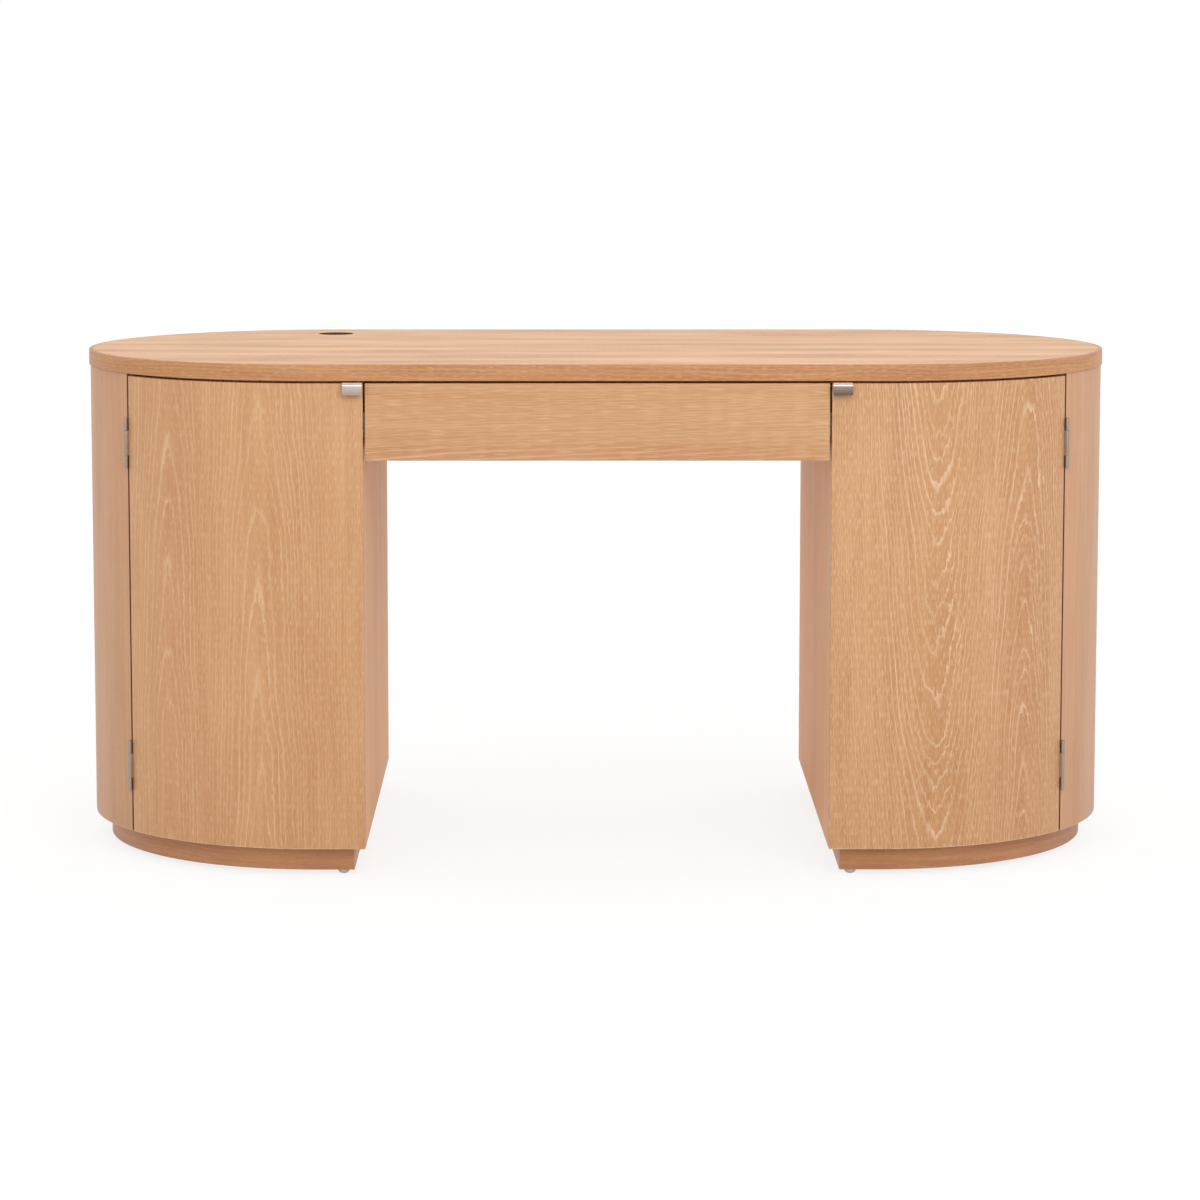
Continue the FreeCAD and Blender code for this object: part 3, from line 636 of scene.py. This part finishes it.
nickel_upright = brushed("brushed_nickel_upright", (172, 152, 136), 0.38, (2500, 2500, 60), metallic=0.8)
zinc = brushed("bright_zinc", (190, 192, 196), 0.35, (900, 60, 900))
screw_steel = brushed("screw_steel", (196, 188, 176), 0.3, (1500, 1500, 1500))
grommet_metal = brushed("grommet_metal", (82, 73, 74), 0.4, (60, 2000, 2000), metallic=0.0)
glide_plastic = brushed("glide_plastic", (205, 203, 198), 0.5, (300, 300, 300), metallic=0.0)
catch_plastic = brushed("catch_plastic", (96, 72, 52), 0.5, (300, 300, 300), metallic=0.0)
bumper_rubber = brushed("bumper_rubber", (205, 200, 190), 0.55, (400, 400, 400), metallic=0.0)
grommet_dark = brushed("grommet_dark", (52, 45, 44), 0.6, (300, 300, 300), metallic=0.0)
# Seen at a glancing angle, even a faint gloss on the grommet would mirror the white room
for lacquered in (grommet_dark, grommet_metal):
    lacquered.node_tree.nodes["Principled BSDF"].inputs["Specular IOR Level"].default_value = 0.0
print("materials:", len(bpy.data.materials))

# %% [markdown]
# ## The nickel of the pulls
#
# The lip of a pull is brushed along its length. Its colour follows the height on the piece and
# carries painted light: painted shade darkens the lip towards its lower edge, a painted highlight
# makes the bend above it bright, and a painted dark reflection runs as a duller line across the
# bend. The right pull is a darker copy of the same nickel, painted shade for the room's shade.

# %% Pull nickel
# Painted highlight and painted dark reflection on the bend, and painted shade down the lip, by height below
# the top
PAINTED_HIGHLIGHT = (252, 247, 243)
PAINTED_DARK_REFLECTION = (176, 164, 156)
DARK_REFLECTION_STARTS = (1.0 * MM, 1.6 * MM)
DARK_REFLECTION_ENDS = (2.8 * MM, 3.4 * MM)
PAINTED_HIGHLIGHT_TO = (3.9 * MM, 4.8 * MM)
PAINTED_SHADE_FROM = 6 * MM
pull_low, pull_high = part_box("right_door_pull")


# Nickel with painted light: painted shade down the lip, a painted highlight on the bend and a painted dark
# reflection across it
def pull_nickel_painted_light(name, high, low):
    material = brushed(name, high, 0.3, (60, 2500, 2500))
    tree = material.node_tree
    height = split_of(tree, place_of(tree))[2]
    below = sum_of(tree, "SUBTRACT", pull_high.z, height)
    painted_shade_down_lip = ranged(tree, below, PAINTED_SHADE_FROM, pull_high.z - pull_low.z)
    painted_highlight_band = ranged(tree, below, *PAINTED_HIGHLIGHT_TO, 1.0, 0.0)
    dark_reflection_top = ranged(tree, below, *DARK_REFLECTION_STARTS)
    painted_dark_reflection_band = times(tree, dark_reflection_top, ranged(tree, below, *DARK_REFLECTION_ENDS, 0.8, 0.0))
    lip = mixed(tree, painted_shade_down_lip, linear(*high), linear(*low))
    bend = mixed(tree, painted_dark_reflection_band, linear(*PAINTED_HIGHLIGHT), linear(*PAINTED_DARK_REFLECTION))
    put(tree, tree.nodes["surface"].inputs["Tint"], mixed(tree, painted_highlight_band, lip, bend))
    return material


# Both pulls carry the painted light; the right pull is a darker copy, painted shade
nickel_left_painted_light = pull_nickel_painted_light("brushed_nickel_left", (199, 186, 176), (179, 161, 148))
nickel_right_painted_shade = pull_nickel_painted_light("brushed_nickel_right", (154, 136, 124), (114, 97, 88))
print("pull nickel:", nickel_left_painted_light.name, nickel_right_painted_shade.name)

# %% [markdown]
# ## Modelling helpers
#
# Each piece below starts as a primitive that is put in its place and then worked on in edit mode,
# as by hand. These helpers do the small steps: clear the selection, add a block, choose faces
# or edges by a rule, apply a modifier, mirror a right-hand piece, and hand the piece over to its
# body with its material, hiding the node it replaces.

# %% Adding and choosing
SMOOTH_BELOW = math.radians(30)
SQUARE_ON = 0.9
NEAR = 0.1 * MM


def clear_choice():
    bpy.ops.object.select_all(action="DESELECT")


def take(piece):
    clear_choice()
    piece.select_set(True)
    bpy.context.view_layer.objects.active = piece


def settle(name):
    # The primitive just added gets its name, and its place goes into its mesh
    piece = bpy.context.object
    piece.name = name
    piece.data.name = name
    take(piece)
    bpy.ops.object.transform_apply(location=True, rotation=True, scale=True)
    return piece


def block(name, low, high):
    clear_choice()
    middle = [(a + b) / 2 for a, b in zip(low, high)]
    bpy.ops.mesh.primitive_cube_add(size=1, location=middle)
    bpy.context.object.scale = [b - a for a, b in zip(low, high)]
    return settle(name)


def edit(piece):
    take(piece)
    bpy.ops.object.mode_set(mode="EDIT")


def done():
    bpy.ops.object.mode_set(mode="OBJECT")


def choose(kind, rule):
    # In edit mode, selects the VERT, EDGE or FACE parts that the rule keeps
    bpy.ops.mesh.select_mode(type=kind)
    bpy.ops.mesh.select_all(action="DESELECT")
    shape = bmesh.from_edit_mesh(bpy.context.object.data)
    for part in {"VERT": shape.verts, "EDGE": shape.edges, "FACE": shape.faces}[kind]:
        if rule(part):
            part.select_set(True)
    shape.select_flush_mode()
    bmesh.update_edit_mesh(bpy.context.object.data)


def choose_all():
    bpy.ops.mesh.select_all(action="SELECT")


def extrude(x, y, z):
    bpy.ops.mesh.extrude_region_move(TRANSFORM_OT_translate={"value": (x, y, z)})


def merge_and_turn_outward(distance=0.02 * MM):
    choose_all()
    bpy.ops.mesh.remove_doubles(threshold=distance)
    bpy.ops.mesh.normals_make_consistent(inside=False)


print("nearer than", NEAR, "m is the same place")


# %% Modifiers
def apply_modifier(piece, kind, **settings):
    take(piece)
    modifier = piece.modifiers.new(kind.lower(), kind)
    for name, value in settings.items():
        setattr(modifier, name, value)
    bpy.ops.object.modifier_apply(modifier=modifier.name)


def soften(piece, width, segments=3, angle=35):
    # Rounds every edge sharper than the angle
    apply_modifier(
        piece, "BEVEL", width=width, segments=segments, limit_method="ANGLE", angle_limit=math.radians(angle)
    )


def smooth(piece):
    take(piece)
    bpy.ops.object.shade_smooth_by_angle(angle=SMOOTH_BELOW)


def cut(piece, tool):
    apply_modifier(piece, "BOOLEAN", operation="DIFFERENCE", solver="EXACT", object=tool)
    bpy.data.objects.remove(tool)


def unite(piece, other):
    apply_modifier(piece, "BOOLEAN", operation="UNION", solver="EXACT", object=other)
    bpy.data.objects.remove(other)


print("edges under", round(math.degrees(SMOOTH_BELOW)), "degrees are shaded smooth")


# %% Copies and handing over
def copy_of(piece, name, matrix):
    twin = piece.copy()
    twin.data = piece.data.copy()
    twin.name = name
    twin.data.name = name
    scene.collection.objects.link(twin)
    twin.data.transform(matrix)
    return twin


def mirrored(piece, name):
    # The left-hand twin: across the middle plane, with its faces turned outward again
    twin = copy_of(piece, name, Matrix.Scale(-1, 4, (1, 0, 0)))
    twin.data.flip_normals()
    return twin


def joined(name, parts):
    clear_choice()
    for part in parts:
        part.select_set(True)
    bpy.context.view_layer.objects.active = parts[0]
    bpy.ops.object.join()
    parts[0].name = name
    parts[0].data.name = name
    return parts[0]


def hand_over(piece, body, material, node):
    piece.data.materials.clear()
    piece.data.materials.append(material)
    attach(piece, body)
    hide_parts(node)
    print(piece.name, "on", body, "faces", len(piece.data.polygons))


CARCASS = ("carcass", "carcass")
DOORS = ("right_door", "left_door")


def hand_over_both(right, bodies, materials, node):
    # The right-hand piece and its mirror image, each to its own body and node
    left = mirrored(right, right.name.replace("right", "left"))
    for side, piece, body, material in zip(("right", "left"), (right, left), bodies, materials):
        hand_over(piece, body, material, side + "_" + node)


print("mirrored pairs go to", CARCASS, "or", DOORS)

# %% [markdown]
# ## Bending a board round the end
#
# The doors, shells and plinths are boards bent round the same centre. On the real desk they are
# thin layers glued over a curved form. Here a straight block is drawn first and its end face is
# spun about the end centre, which keeps the faces square and the curve even.

# %% Bent boards
SPIN_STEP = math.radians(1.5)
SMALL_ROUND = 24
WIDE_ROUND = 96
AXIS_UP = (0, 0, 1)


def spun(piece, rule, angle, centre):
    # With no window the spin operator turns clockwise for a positive angle, so the sign is turned
    edit(piece)
    choose("FACE", rule)
    steps = max(2, round(abs(angle) / SPIN_STEP))
    bpy.ops.mesh.spin(steps=steps, angle=-angle, center=centre, axis=AXIS_UP)
    merge_and_turn_outward()
    done()


def turned(name, centre, profile, steps):
    # A lathe: the profile is a chain of (radius, height) points, spun once round an upright axis
    clear_choice()
    (radius, height), rest = profile[0], profile[1:]
    bpy.ops.mesh.primitive_plane_add(size=MM, location=(centre[0] + radius, centre[1], height))
    piece = settle(name)
    edit(piece)
    bpy.ops.mesh.select_mode(type="VERT")
    choose_all()
    bpy.ops.mesh.merge(type="CENTER")
    for next_radius, next_height in rest:
        extrude(next_radius - radius, 0, next_height - height)
        radius, height = next_radius, next_height
    choose_all()
    bpy.ops.mesh.spin(steps=steps, angle=2 * math.pi, center=(centre[0], centre[1], 0), axis=AXIS_UP)
    merge_and_turn_outward(0.01 * MM)
    done()
    smooth(piece)
    return piece


def eased_rod(radius, low, high, ease):
    # The lathe's profile of a rod or a disc with eased rims
    lower_half = [(0, low), (radius - ease, low), (radius, low + ease)]
    return lower_half + [(radius, high - ease), (radius - ease, high), (0, high)]


END_POINT = (END_CENTRE, PLAN_Y, 0)
LEFT_POINT = (-END_CENTRE, PLAN_Y, 0)
print("bent about", [round(c, 4) for c in END_POINT[:2]], "in steps of", round(math.degrees(SPIN_STEP), 1))

# %% [markdown]
# ## The edge band of the desktop
#
# A solid strip is glued all round the desktop and its two outer arrises are rounded by hand. It
# is drawn as one closed ring: a straight front, half a turn, a straight back, half a turn.

# %% Edge band
BAND_THICK = 6 * MM
BAND_ROUND = 1.5 * MM
front_start = (-END_CENTRE, band_low.y, band_low.z)
band = block("edge_band", front_start, (END_CENTRE, band_low.y + BAND_THICK, band_high.z))


def end_face(x, facing, behind=False):
    # The end of a run: a face that looks along X, at a place along X, in front or behind
    def is_end(face):
        middle = face.calc_center_median()
        at_place = abs(middle.x - x) < MM and (middle.y > PLAN_Y) == behind
        return at_place and face.normal.x * facing > SQUARE_ON

    return is_end


spun(band, end_face(END_CENTRE, 1), math.pi, END_POINT)
edit(band)
choose("FACE", end_face(END_CENTRE, -1, behind=True))
extrude(-2 * END_CENTRE, 0, 0)
done()
spun(band, end_face(-END_CENTRE, -1, behind=True), math.pi, LEFT_POINT)
edit(band)
choose("FACE", lambda face: any(end_face(-END_CENTRE, facing)(face) for facing in (-1, 1)))
bpy.ops.mesh.delete(type="FACE")
merge_and_turn_outward()


def on_rim(edge):
    # The outer arrises, above and below
    spots = [vertex.co for vertex in edge.verts]
    level = abs(spots[0].z - spots[1].z) < BAND_ROUND
    at_edge = min(abs(spots[0].z - band_low.z), abs(spots[0].z - band_high.z)) < BAND_ROUND / 10
    outward = all(
        Vector((max(0, abs(spot.x) - END_CENTRE), spot.y - PLAN_Y)).length > END_RADIUS - BAND_THICK / 2
        for spot in spots
    )
    return level and at_edge and outward


choose("EDGE", on_rim)
bpy.ops.mesh.bevel(offset=BAND_ROUND, segments=4)
done()
smooth(band)
hand_over(band, "carcass", band_veneer, "desktop_edging")

# %% [markdown]
# ## Doors and shells
#
# A door is straight for a hand's width beside the drawer and then bends to the hinge. The shell
# goes on from there, round the end and along the back. Their edges are eased by about a
# millimetre, which gives the fine bright line where a board ends. The hinge leaves are let into
# the edges, so a shallow pocket is cut for each.

# %% Hinge place
PIN_RADIUS = 1.5 * MM
pin_low, pin_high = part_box("hinge_pins")
PIN_X = pin_high.x - PIN_RADIUS
PIN_Y = (pin_low.y + pin_high.y) / 2
HINGE_ANGLE = math.atan2(PIN_X - END_CENTRE, PLAN_Y - PIN_Y)
HINGE_HALF = 38 * MM
HINGE_HEIGHTS = (pin_low.z + HINGE_HALF, pin_high.z - HINGE_HALF)
BOARD_THICK = 20 * MM
EDGE_ROUND = 1.0 * MM
HALF_GAP = math.asin(1.5 * MM / BODY_RADIUS)
print("hinge at", round(math.degrees(HINGE_ANGLE), 2), "degrees")
print("hinge heights", [round(z, 4) for z in HINGE_HEIGHTS])


def hinge_matrix(height):
    # Local X runs from the pin along the door, local Y straight out of the desk
    return Matrix.Translation((PIN_X, PIN_Y, height)) @ Matrix.Rotation(HINGE_ANGLE + math.pi, 4, "Z")


LEAF_INNER = 1.5 * MM
LEAF_OUTER = 3.0 * MM
LEAF_DEEP = 21 * MM


def let_in_leaves(board, sign):
    # Cuts the pocket of each hinge leaf into the board's edge
    for height in HINGE_HEIGHTS:
        low = (min(0, sign * LEAF_OUTER), -LEAF_DEEP, -HINGE_HALF)
        high = (max(0, sign * LEAF_OUTER), 0, HINGE_HALF)
        pocket = block("pocket", low, high)
        pocket.data.transform(hinge_matrix(height))
        cut(board, pocket)


# %% Doors
door = block("door_right", door_low, (END_CENTRE, door_low.y + BOARD_THICK, door_high.z))
spun(door, end_face(END_CENTRE, 1), HINGE_ANGLE - HALF_GAP, END_POINT)
soften(door, EDGE_ROUND)
let_in_leaves(door, 1)
smooth(door)
hand_over_both(door, DOORS, (door_right, door_left), "door")

# %% Shells
shell_low, shell_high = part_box("right_curved_shell")
shell = block(
    "shell_right",
    (shell_low.x, shell_high.y - BOARD_THICK, shell_low.z),
    (END_CENTRE, shell_high.y, shell_high.z),
)
spun(shell, end_face(END_CENTRE, 1, behind=True), -(math.pi - HINGE_ANGLE - HALF_GAP), END_POINT)
soften(shell, 0.6 * MM, 2)
let_in_leaves(shell, -1)
smooth(shell)
hand_over_both(shell, CARCASS, (shell_right, shell_left), "curved_shell")

# %% [markdown]
# ## Plinths and the drawer front
#
# The plinth is the recessed foot of each pedestal: a bent strip that follows the shell and a
# straight one on the kneehole side. The drawer front is a plain veneered board with eased edges
# and no handle: it is pulled from below.

# %% Plinths
PLINTH_THICK = 18 * MM
plinth_low, plinth_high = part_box("right_plinth")
plinth = block("plinth_right", plinth_low, (END_CENTRE, plinth_low.y + PLINTH_THICK, plinth_high.z))
spun(plinth, end_face(END_CENTRE, 1), math.pi, END_POINT)
edit(plinth)
choose("FACE", end_face(END_CENTRE, -1, behind=True))
extrude(plinth_low.x - END_CENTRE, 0, 0)
done()
inner_strip = block(
    "inner_strip",
    (plinth_low.x, plinth_low.y + PLINTH_THICK / 2, plinth_low.z),
    (plinth_low.x + PLINTH_THICK, plinth_high.y - PLINTH_THICK / 2, plinth_high.z),
)
unite(plinth, inner_strip)
edit(plinth)
merge_and_turn_outward()
done()
soften(plinth, 0.8 * MM, 2)
smooth(plinth)
hand_over_both(plinth, CARCASS, [plinth_veneer] * 2, "plinth")

# %% Drawer front
front_low, front_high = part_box("drawer_front")
drawer_board = block("drawer_board", front_low, front_high)
soften(drawer_board, EDGE_ROUND)
smooth(drawer_board)
hand_over(drawer_board, "drawer", drawer_veneer, "drawer_front")

# %% [markdown]
# ## Screws
#
# A countersunk screw is a disc drawn down into a cone, then into a shank, with a cross recess in
# its head. One screw of each size is modelled upright, its head at the origin, and copies of it
# are laid where the frame's screws are.

# %% Screw model
RECESS_WINGS = ((0.22, 0.68, 0.30), (0.68, 0.22, 0.28))


def screw_model(name, head, shank, length):
    clear_choice()
    bpy.ops.mesh.primitive_circle_add(vertices=24, radius=head, fill_type="NGON", location=(0, 0, 0))
    piece = settle(name)
    edit(piece)
    choose_all()
    rim = 0.15 * MM
    cone = head - shank
    for drop, size in ((rim, 1.0), (cone, shank / head), (length - rim - cone - shank, 1.0), (shank, 0.2)):
        extrude(0, 0, -drop)
        bpy.ops.transform.resize(value=(size, size, 1.0), center_override=(0, 0, 0))
    merge_and_turn_outward(0.005 * MM)
    done()
    for wide, long, deep in RECESS_WINGS:
        wing = block("wing", (-wide * head, -long * head, -deep * head), (wide * head, long * head, head))
        cut(piece, wing)
    smooth(piece)
    return piece


def along_axis(place, direction):
    # A matrix that stands a screw at a place, its head facing the direction
    return Matrix.Translation(place) @ Vector(direction).to_track_quat("Z", "Y").to_matrix().to_4x4()


def screw_set(name, model, matrices):
    return joined(name, [copy_of(model, name, matrix) for matrix in matrices])


print("screw recess", len(RECESS_WINGS), "wings")

# %% [markdown]
# ## Hinges
#
# Each door hangs on two butt hinges of brushed nickel. A hinge is two leaves folded to meet,
# with rolled knuckles that mesh round a pin: the frame leaf has the two outer knuckles and the
# door leaf the middle one. A leaf is a thin plate with rounded corners, and a knuckle is a short
# tube with eased ends.

# %% Hinge leaves
KNUCKLE_RADIUS = 3.0 * MM
KNUCKLE_BORE = 1.55 * MM
KNUCKLE_GAP = 0.3 * MM
KNUCKLE_SPLIT = 19 * MM
LEAF_NECK = 3.6 * MM
LEAF_CORNER = 3.5 * MM


def knuckle(low, high):
    clear_choice()
    bpy.ops.mesh.primitive_cylinder_add(
        vertices=40,
        radius=KNUCKLE_RADIUS,
        depth=high - low,
        end_fill_type="NOTHING",
        location=(0, 0, (low + high) / 2),
    )
    tube = settle("knuckle")
    apply_modifier(tube, "SOLIDIFY", thickness=KNUCKLE_RADIUS - KNUCKLE_BORE, offset=-1)
    soften(tube, 0.3 * MM, 3)
    return tube


def hinge_leaf(name, sign, spans, split):
    low = (min(sign * LEAF_INNER, sign * LEAF_OUTER), -LEAF_DEEP, -HINGE_HALF)
    high = (max(sign * LEAF_INNER, sign * LEAF_OUTER), -LEAF_NECK, HINGE_HALF)
    leaf = block(name, low, high)
    edit(leaf)
    for height in (-split, split):
        choose_all()
        bpy.ops.mesh.bisect(plane_co=(0, 0, height), plane_no=AXIS_UP)

    def at_knuckle(face):
        middle = face.calc_center_median().z
        return face.normal.y > SQUARE_ON and any(start < middle < stop for start, stop in spans)

    choose("FACE", at_knuckle)
    extrude(0, LEAF_NECK, 0)

    def at_corner(edge):
        spots = [vertex.co for vertex in edge.verts]
        return all(spot.y < NEAR - LEAF_DEEP and abs(spot.z) > HINGE_HALF - NEAR for spot in spots)

    choose("EDGE", at_corner)
    bpy.ops.mesh.bevel(offset=LEAF_CORNER, segments=6)
    done()
    soften(leaf, 0.2 * MM, 2)
    for start, stop in spans:
        unite(leaf, knuckle(start, stop))
    smooth(leaf)
    return leaf


outer_split = KNUCKLE_SPLIT + KNUCKLE_GAP / 2
inner_split = KNUCKLE_SPLIT - KNUCKLE_GAP / 2
frame_leaf = hinge_leaf(
    "hinge_frame_leaf", -1, [(-HINGE_HALF, -outer_split), (outer_split, HINGE_HALF)], outer_split
)
door_leaf = hinge_leaf("hinge_door_leaf", 1, [(-inner_split, inner_split)], inner_split)
pin_tip = 0.5 * MM
pin_profile = eased_rod(PIN_RADIUS, -HINGE_HALF, HINGE_HALF, pin_tip)
pin = turned("hinge_pin", (0, 0), pin_profile, SMALL_ROUND)


def at_both_hinges(model, name):
    return joined(name, [copy_of(model, name, hinge_matrix(height)) for height in HINGE_HEIGHTS])


frame_leaves = at_both_hinges(frame_leaf, "hinge_frame_right")
hand_over_both(frame_leaves, CARCASS, [nickel_upright] * 2, "hinge_frame_leaves")
door_leaves = at_both_hinges(door_leaf, "hinge_leaf_right")
hand_over_both(door_leaves, DOORS, [nickel_upright] * 2, "hinge_door_leaves")
right_pins = at_both_hinges(pin, "hinge_pins_right")
left_pins = mirrored(right_pins, "hinge_pins_left")
pins = joined("hinge_pin_set", [right_pins, left_pins])
hand_over(pins, "carcass", nickel_upright, "hinge_pins")
for model in (frame_leaf, door_leaf, pin):
    bpy.data.objects.remove(model)

# %% Hinge screws
HINGE_SCREW_PITCH = 24 * MM
HINGE_SCREW_Y = -14 * MM
SCREW_HEAD = 2.8 * MM
SCREW_PROUD = 0.12 * MM
hinge_screw = screw_model("hinge_screw", SCREW_HEAD, 1.4 * MM, 16 * MM)


def hinge_screws(sign, name):
    places = []
    for height in HINGE_HEIGHTS:
        for step in (-1, 0, 1):
            spot = (sign * (LEAF_INNER - SCREW_PROUD), HINGE_SCREW_Y, step * HINGE_SCREW_PITCH)
            places.append(hinge_matrix(height) @ along_axis(spot, (-sign, 0, 0)))
    return screw_set(name, hinge_screw, places)


leaf_screws = hinge_screws(1, "hinge_leaf_screws_right")
hand_over_both(leaf_screws, DOORS, [screw_steel] * 2, "hinge_door_screws")
right_screws = hinge_screws(-1, "hinge_frame_screws_right")
left_screws = mirrored(right_screws, "hinge_frame_screws_left")
frame_screws = joined("hinge_frame_screw_set", [right_screws, left_screws])
hand_over(frame_screws, "carcass", screw_steel, "hinge_frame_screws")
bpy.data.objects.remove(hinge_screw)

# %% [markdown]
# ## Door pulls
#
# A pull is a strip of brushed nickel, folded once. Its flat leaf is screwed to the top of the
# door's edge, and its lip hangs down in front as a finger hold. It is drawn as a thin sheet: a
# flat face, its front edge spun down through a quarter turn and extruded. Solidify gives it the
# thickness of the metal.

# %% Door pulls
PULL_THICK = 1.6 * MM
PULL_BEND = 5.0 * MM
clear_choice()
flat_front = pull_low.y + PULL_BEND
bpy.ops.mesh.primitive_plane_add(
    size=1, location=((pull_low.x + pull_high.x) / 2, (flat_front + pull_high.y) / 2, pull_high.z)
)
bpy.context.object.scale = (pull_high.x - pull_low.x, pull_high.y - flat_front, 1)
pull = settle("pull_right")
edit(pull)


def front_edge(edge):
    return all(vertex.co.y < flat_front + NEAR for vertex in edge.verts)


choose("EDGE", front_edge)
bend_centre = (0, flat_front, pull_high.z - PULL_BEND)
bpy.ops.mesh.spin(steps=10, angle=-math.pi / 2, center=bend_centre, axis=(1, 0, 0))
drop = pull_high.z - PULL_BEND - pull_low.z
extrude(0, 0, -drop)
merge_and_turn_outward()
done()
if pull.data.polygons[0].normal.z < 0:
    pull.data.flip_normals()
apply_modifier(pull, "SOLIDIFY", thickness=PULL_THICK, offset=-1, use_even_offset=True)
soften(pull, 0.35 * MM, 3, 50)
smooth(pull)
hand_over_both(pull, DOORS, (nickel_right_painted_shade, nickel_left_painted_light), "door_pull")

# %% Pull screws
pull_screw = screw_model("pull_screw", SCREW_HEAD, 1.5 * MM, 12 * MM)
screw_low, screw_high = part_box("right_pull_screws")
spots = [
    (side_x, (screw_low.y + screw_high.y) / 2, screw_high.z + SCREW_PROUD)
    for side_x in (screw_low.x + SCREW_HEAD, screw_high.x - SCREW_HEAD)
]
pull_screws = screw_set("pull_screws_right", pull_screw, [along_axis(s, AXIS_UP) for s in spots])
hand_over_both(pull_screws, DOORS, [screw_steel] * 2, "pull_screws")
bpy.data.objects.remove(pull_screw)

# %% [markdown]
# ## Cable grommet and glides
#
# A dark liner lines the hole near the back, and a metal cap with a notch for the cables turns in
# it. Under the plinths stand six nylon glides: low domes with a nail. All are turned on the
# lathe helper.

# %% Grommet liner
liner_low, liner_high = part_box("grommet_liner")
GROMMET = ((liner_low.x + liner_high.x) / 2, (liner_low.y + liner_high.y) / 2)
FLANGE = (liner_high.x - liner_low.x) / 2
SLEEVE = 25 * MM
BORE = 21.2 * MM
SEAT = 23.2 * MM
SEAT_DEEP = 3.2 * MM
FLANGE_THICK = 2 * MM
RIM = 0.5 * MM
top = liner_high.z
liner = turned(
    "grommet_ring",
    GROMMET,
    [
        (SEAT, top - RIM),
        (SEAT + RIM, top),
        (FLANGE - RIM, top),
        (FLANGE, top - RIM),
        (FLANGE, top - FLANGE_THICK),
        (SLEEVE, top - FLANGE_THICK),
        (SLEEVE, liner_low.z),
        (BORE, liner_low.z),
        (BORE, top - SEAT_DEEP),
        (SEAT, top - SEAT_DEEP),
        (SEAT, top - RIM),
    ],
    WIDE_ROUND,
)
hand_over(liner, "carcass", grommet_dark, "grommet_liner")

# %% Grommet cap
cap_low, cap_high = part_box("grommet_cap")
CAP = (cap_high.x - cap_low.x) / 2
NOTCH_WIDE = 13 * MM
NOTCH_DEEP = 9 * MM
TOOL_REACH = 20 * MM
cap = turned("cable_cap", GROMMET, eased_rod(CAP, cap_low.z, cap_high.z, RIM), WIDE_ROUND)
notch_end = GROMMET[1] + CAP - NOTCH_DEEP + NOTCH_WIDE / 2
clear_choice()
bpy.ops.mesh.primitive_cylinder_add(
    vertices=48, radius=NOTCH_WIDE / 2, depth=TOOL_REACH, location=(GROMMET[0], notch_end, cap_high.z)
)
notch_tool = settle("notch_tool")
edit(notch_tool)
choose("FACE", lambda face: face.normal.y > 0.1 and abs(face.normal.z) < 0.1)
extrude(0, TOOL_REACH, 0)
merge_and_turn_outward()
done()
cut(cap, notch_tool)
smooth(cap)
hand_over(cap, "grommet_cap", grommet_metal, "grommet_cap")

# %% Glides
GLIDE = 8.8 * MM
NAIL = 1.1 * MM
glide_low, glide_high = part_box("glides")
glide_model = turned(
    "glide_model",
    (0, 0),
    [
        (0, 0),
        (3.0 * MM, 0.3 * MM),
        (5.4 * MM, 1.2 * MM),
        (7.3 * MM, 2.7 * MM),
        (8.4 * MM, 4.6 * MM),
        (GLIDE, 6.4 * MM),
        (8.5 * MM, 7.0 * MM),
        (NAIL, 7.0 * MM),
        (NAIL, glide_high.z - 1.0 * MM),
        (0, glide_high.z),
    ],
    40,
)
INNER_GLIDE_X = 377 * MM
places = [(glide_high.x - GLIDE, PLAN_Y)]
places += [(INNER_GLIDE_X, glide_low.y + GLIDE), (INNER_GLIDE_X, glide_high.y - GLIDE)]
places += [(-x, y) for x, y in places]
glides = screw_set("glide_set", glide_model, [Matrix.Translation((x, y, 0)) for x, y in places])
bpy.data.objects.remove(glide_model)
hand_over(glides, "carcass", glide_plastic, "glides")

# %% [markdown]
# ## The kept pieces
#
# The boards inside, the drawer box, the slides and the catches have their true shapes already.
# They keep their meshes and only get their finish.

# %% Materials on the kept pieces
def finish(material, *names):
    for name in names:
        mesh = nodes[name].data
        mesh.materials.clear()
        mesh.materials.append(material)


def both(*names):
    return [side + "_" + name for name in names for side in ("left", "right")]


finish(top_veneer, "desktop_core")
finish(kneehole_veneer_painted_light, *both("inner_panel"))
finish(inside_veneer, *both("base_panel", "top_panel", "shelf"), "front_rail")
finish(drawer_veneer, "rear_apron")
finish(birch, "drawer_sub_front", "drawer_back", "drawer_floor", *both("drawer_side"))
finish(screw_steel, "desktop_screws", "drawer_front_screws", "slide_panel_screws", "slide_drawer_screws")
finish(zinc, *both("slide_outer", "slide_middle", "slide_inner", "outer_ball_cage", "inner_ball_cage"))
finish(zinc, *both("strike_plate"), "shelf_pins")
finish(catch_plastic, "magnetic_catches")
finish(bumper_rubber, "door_bumpers")
print("kept pieces have their finish")
